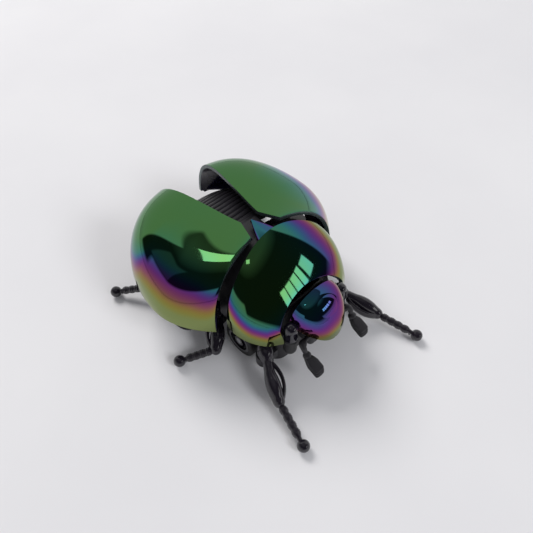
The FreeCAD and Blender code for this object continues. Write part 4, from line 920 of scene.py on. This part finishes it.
def lamp(name, bearing, elevation, distance, size_across, power, tint):
    """A large soft lamp that mirrors don't see, aimed at the robot."""
    data = bpy.data.lights.new(name, "AREA")
    data.shape = "DISK"
    data.size = size_across
    data.energy = power
    data.color = tint
    item = bpy.data.objects.new(name, data)
    bpy.context.scene.collection.objects.link(item)
    a, e = math.radians(bearing), math.radians(elevation)
    away = Vector((math.sin(a) * math.cos(e), -math.cos(a) * math.cos(e), math.sin(e)))
    item.location = away * distance + Vector((0, 0, 0.02))
    item.rotation_mode = "QUATERNION"
    item.rotation_quaternion = away.to_track_quat("Z", "Y")
    item.visible_glossy = False


lamp("front lamp", 5, 38, 1.6, 0.55, 10.0, (0.96, 0.97, 1.0))
lamp("rear lamp", 172, 45, 1.6, 0.8, 19.0, (1.0, 0.985, 0.97))


def bright_card(name, at, bearing, elevation, distance, width, tall, roll, strength):
    """A small glowing card that only mirrors see: its centre lies out from a point along a bearing."""
    a, e = math.radians(bearing), math.radians(elevation)
    away = Vector((math.sin(a) * math.cos(e), -math.cos(a) * math.cos(e), math.sin(e)))
    centre = Vector(placed(at)) + away * distance
    turn = away.to_track_quat("Z", "Y").to_matrix() @ Matrix.Rotation(math.radians(roll), 3, "Z")
    corners = [centre + turn @ Vector((u * width / 2, v * tall / 2, 0))
               for u, v in ((-1, -1), (1, -1), (1, 1), (-1, 1))]
    mesh = bpy.data.meshes.new(name)
    mesh.from_pydata([list(corner) for corner in corners], [], [(0, 1, 2, 3)])
    material = bpy.data.materials.new(name)
    make, link = nodes_of(material)
    light = make("Emission", 0, 0, Color=colour(1, 1, 1), Strength=strength)
    output = make("OutputMaterial", 250, 0)
    link(light.outputs[0], output.inputs["Surface"])
    mesh.materials.append(material)
    card = bpy.data.objects.new(name, mesh)
    bpy.context.scene.collection.objects.link(card)
    card.visible_camera = card.visible_diffuse = card.visible_shadow = card.visible_transmission = False


bright_card("wing window", (-18.6, -13.6, 46), -150, 59.5, 0.08, 0.022, 0.010, 0, 3.0)
bright_card("thorax window", (-13.0, -21.0, 46), -40, 64, 0.08, 0.012, 0.006, 0, 2.6)

# ------------------------------------------------------------------------------------------ camera
camera_data = bpy.data.cameras.new("camera")
camera_data.sensor_width = 36.0
camera_data.lens = 37.82
camera_data.clip_start = 0.01
camera = bpy.data.objects.new("camera", camera_data)
bpy.context.scene.collection.objects.link(camera)
back = Vector((-math.sin(math.radians(44)) * math.cos(math.radians(50)),
               -math.cos(math.radians(44)) * math.cos(math.radians(50)), math.sin(math.radians(50))))
camera.location = Vector((0.0161, frame_shift / 1000, 0)) + back * 0.25
camera.rotation_mode = "QUATERNION"
camera.rotation_quaternion = (-back).to_track_quat("-Z", "Y")
bpy.context.scene.camera = camera
bpy.context.scene.view_settings.view_transform = "Standard"
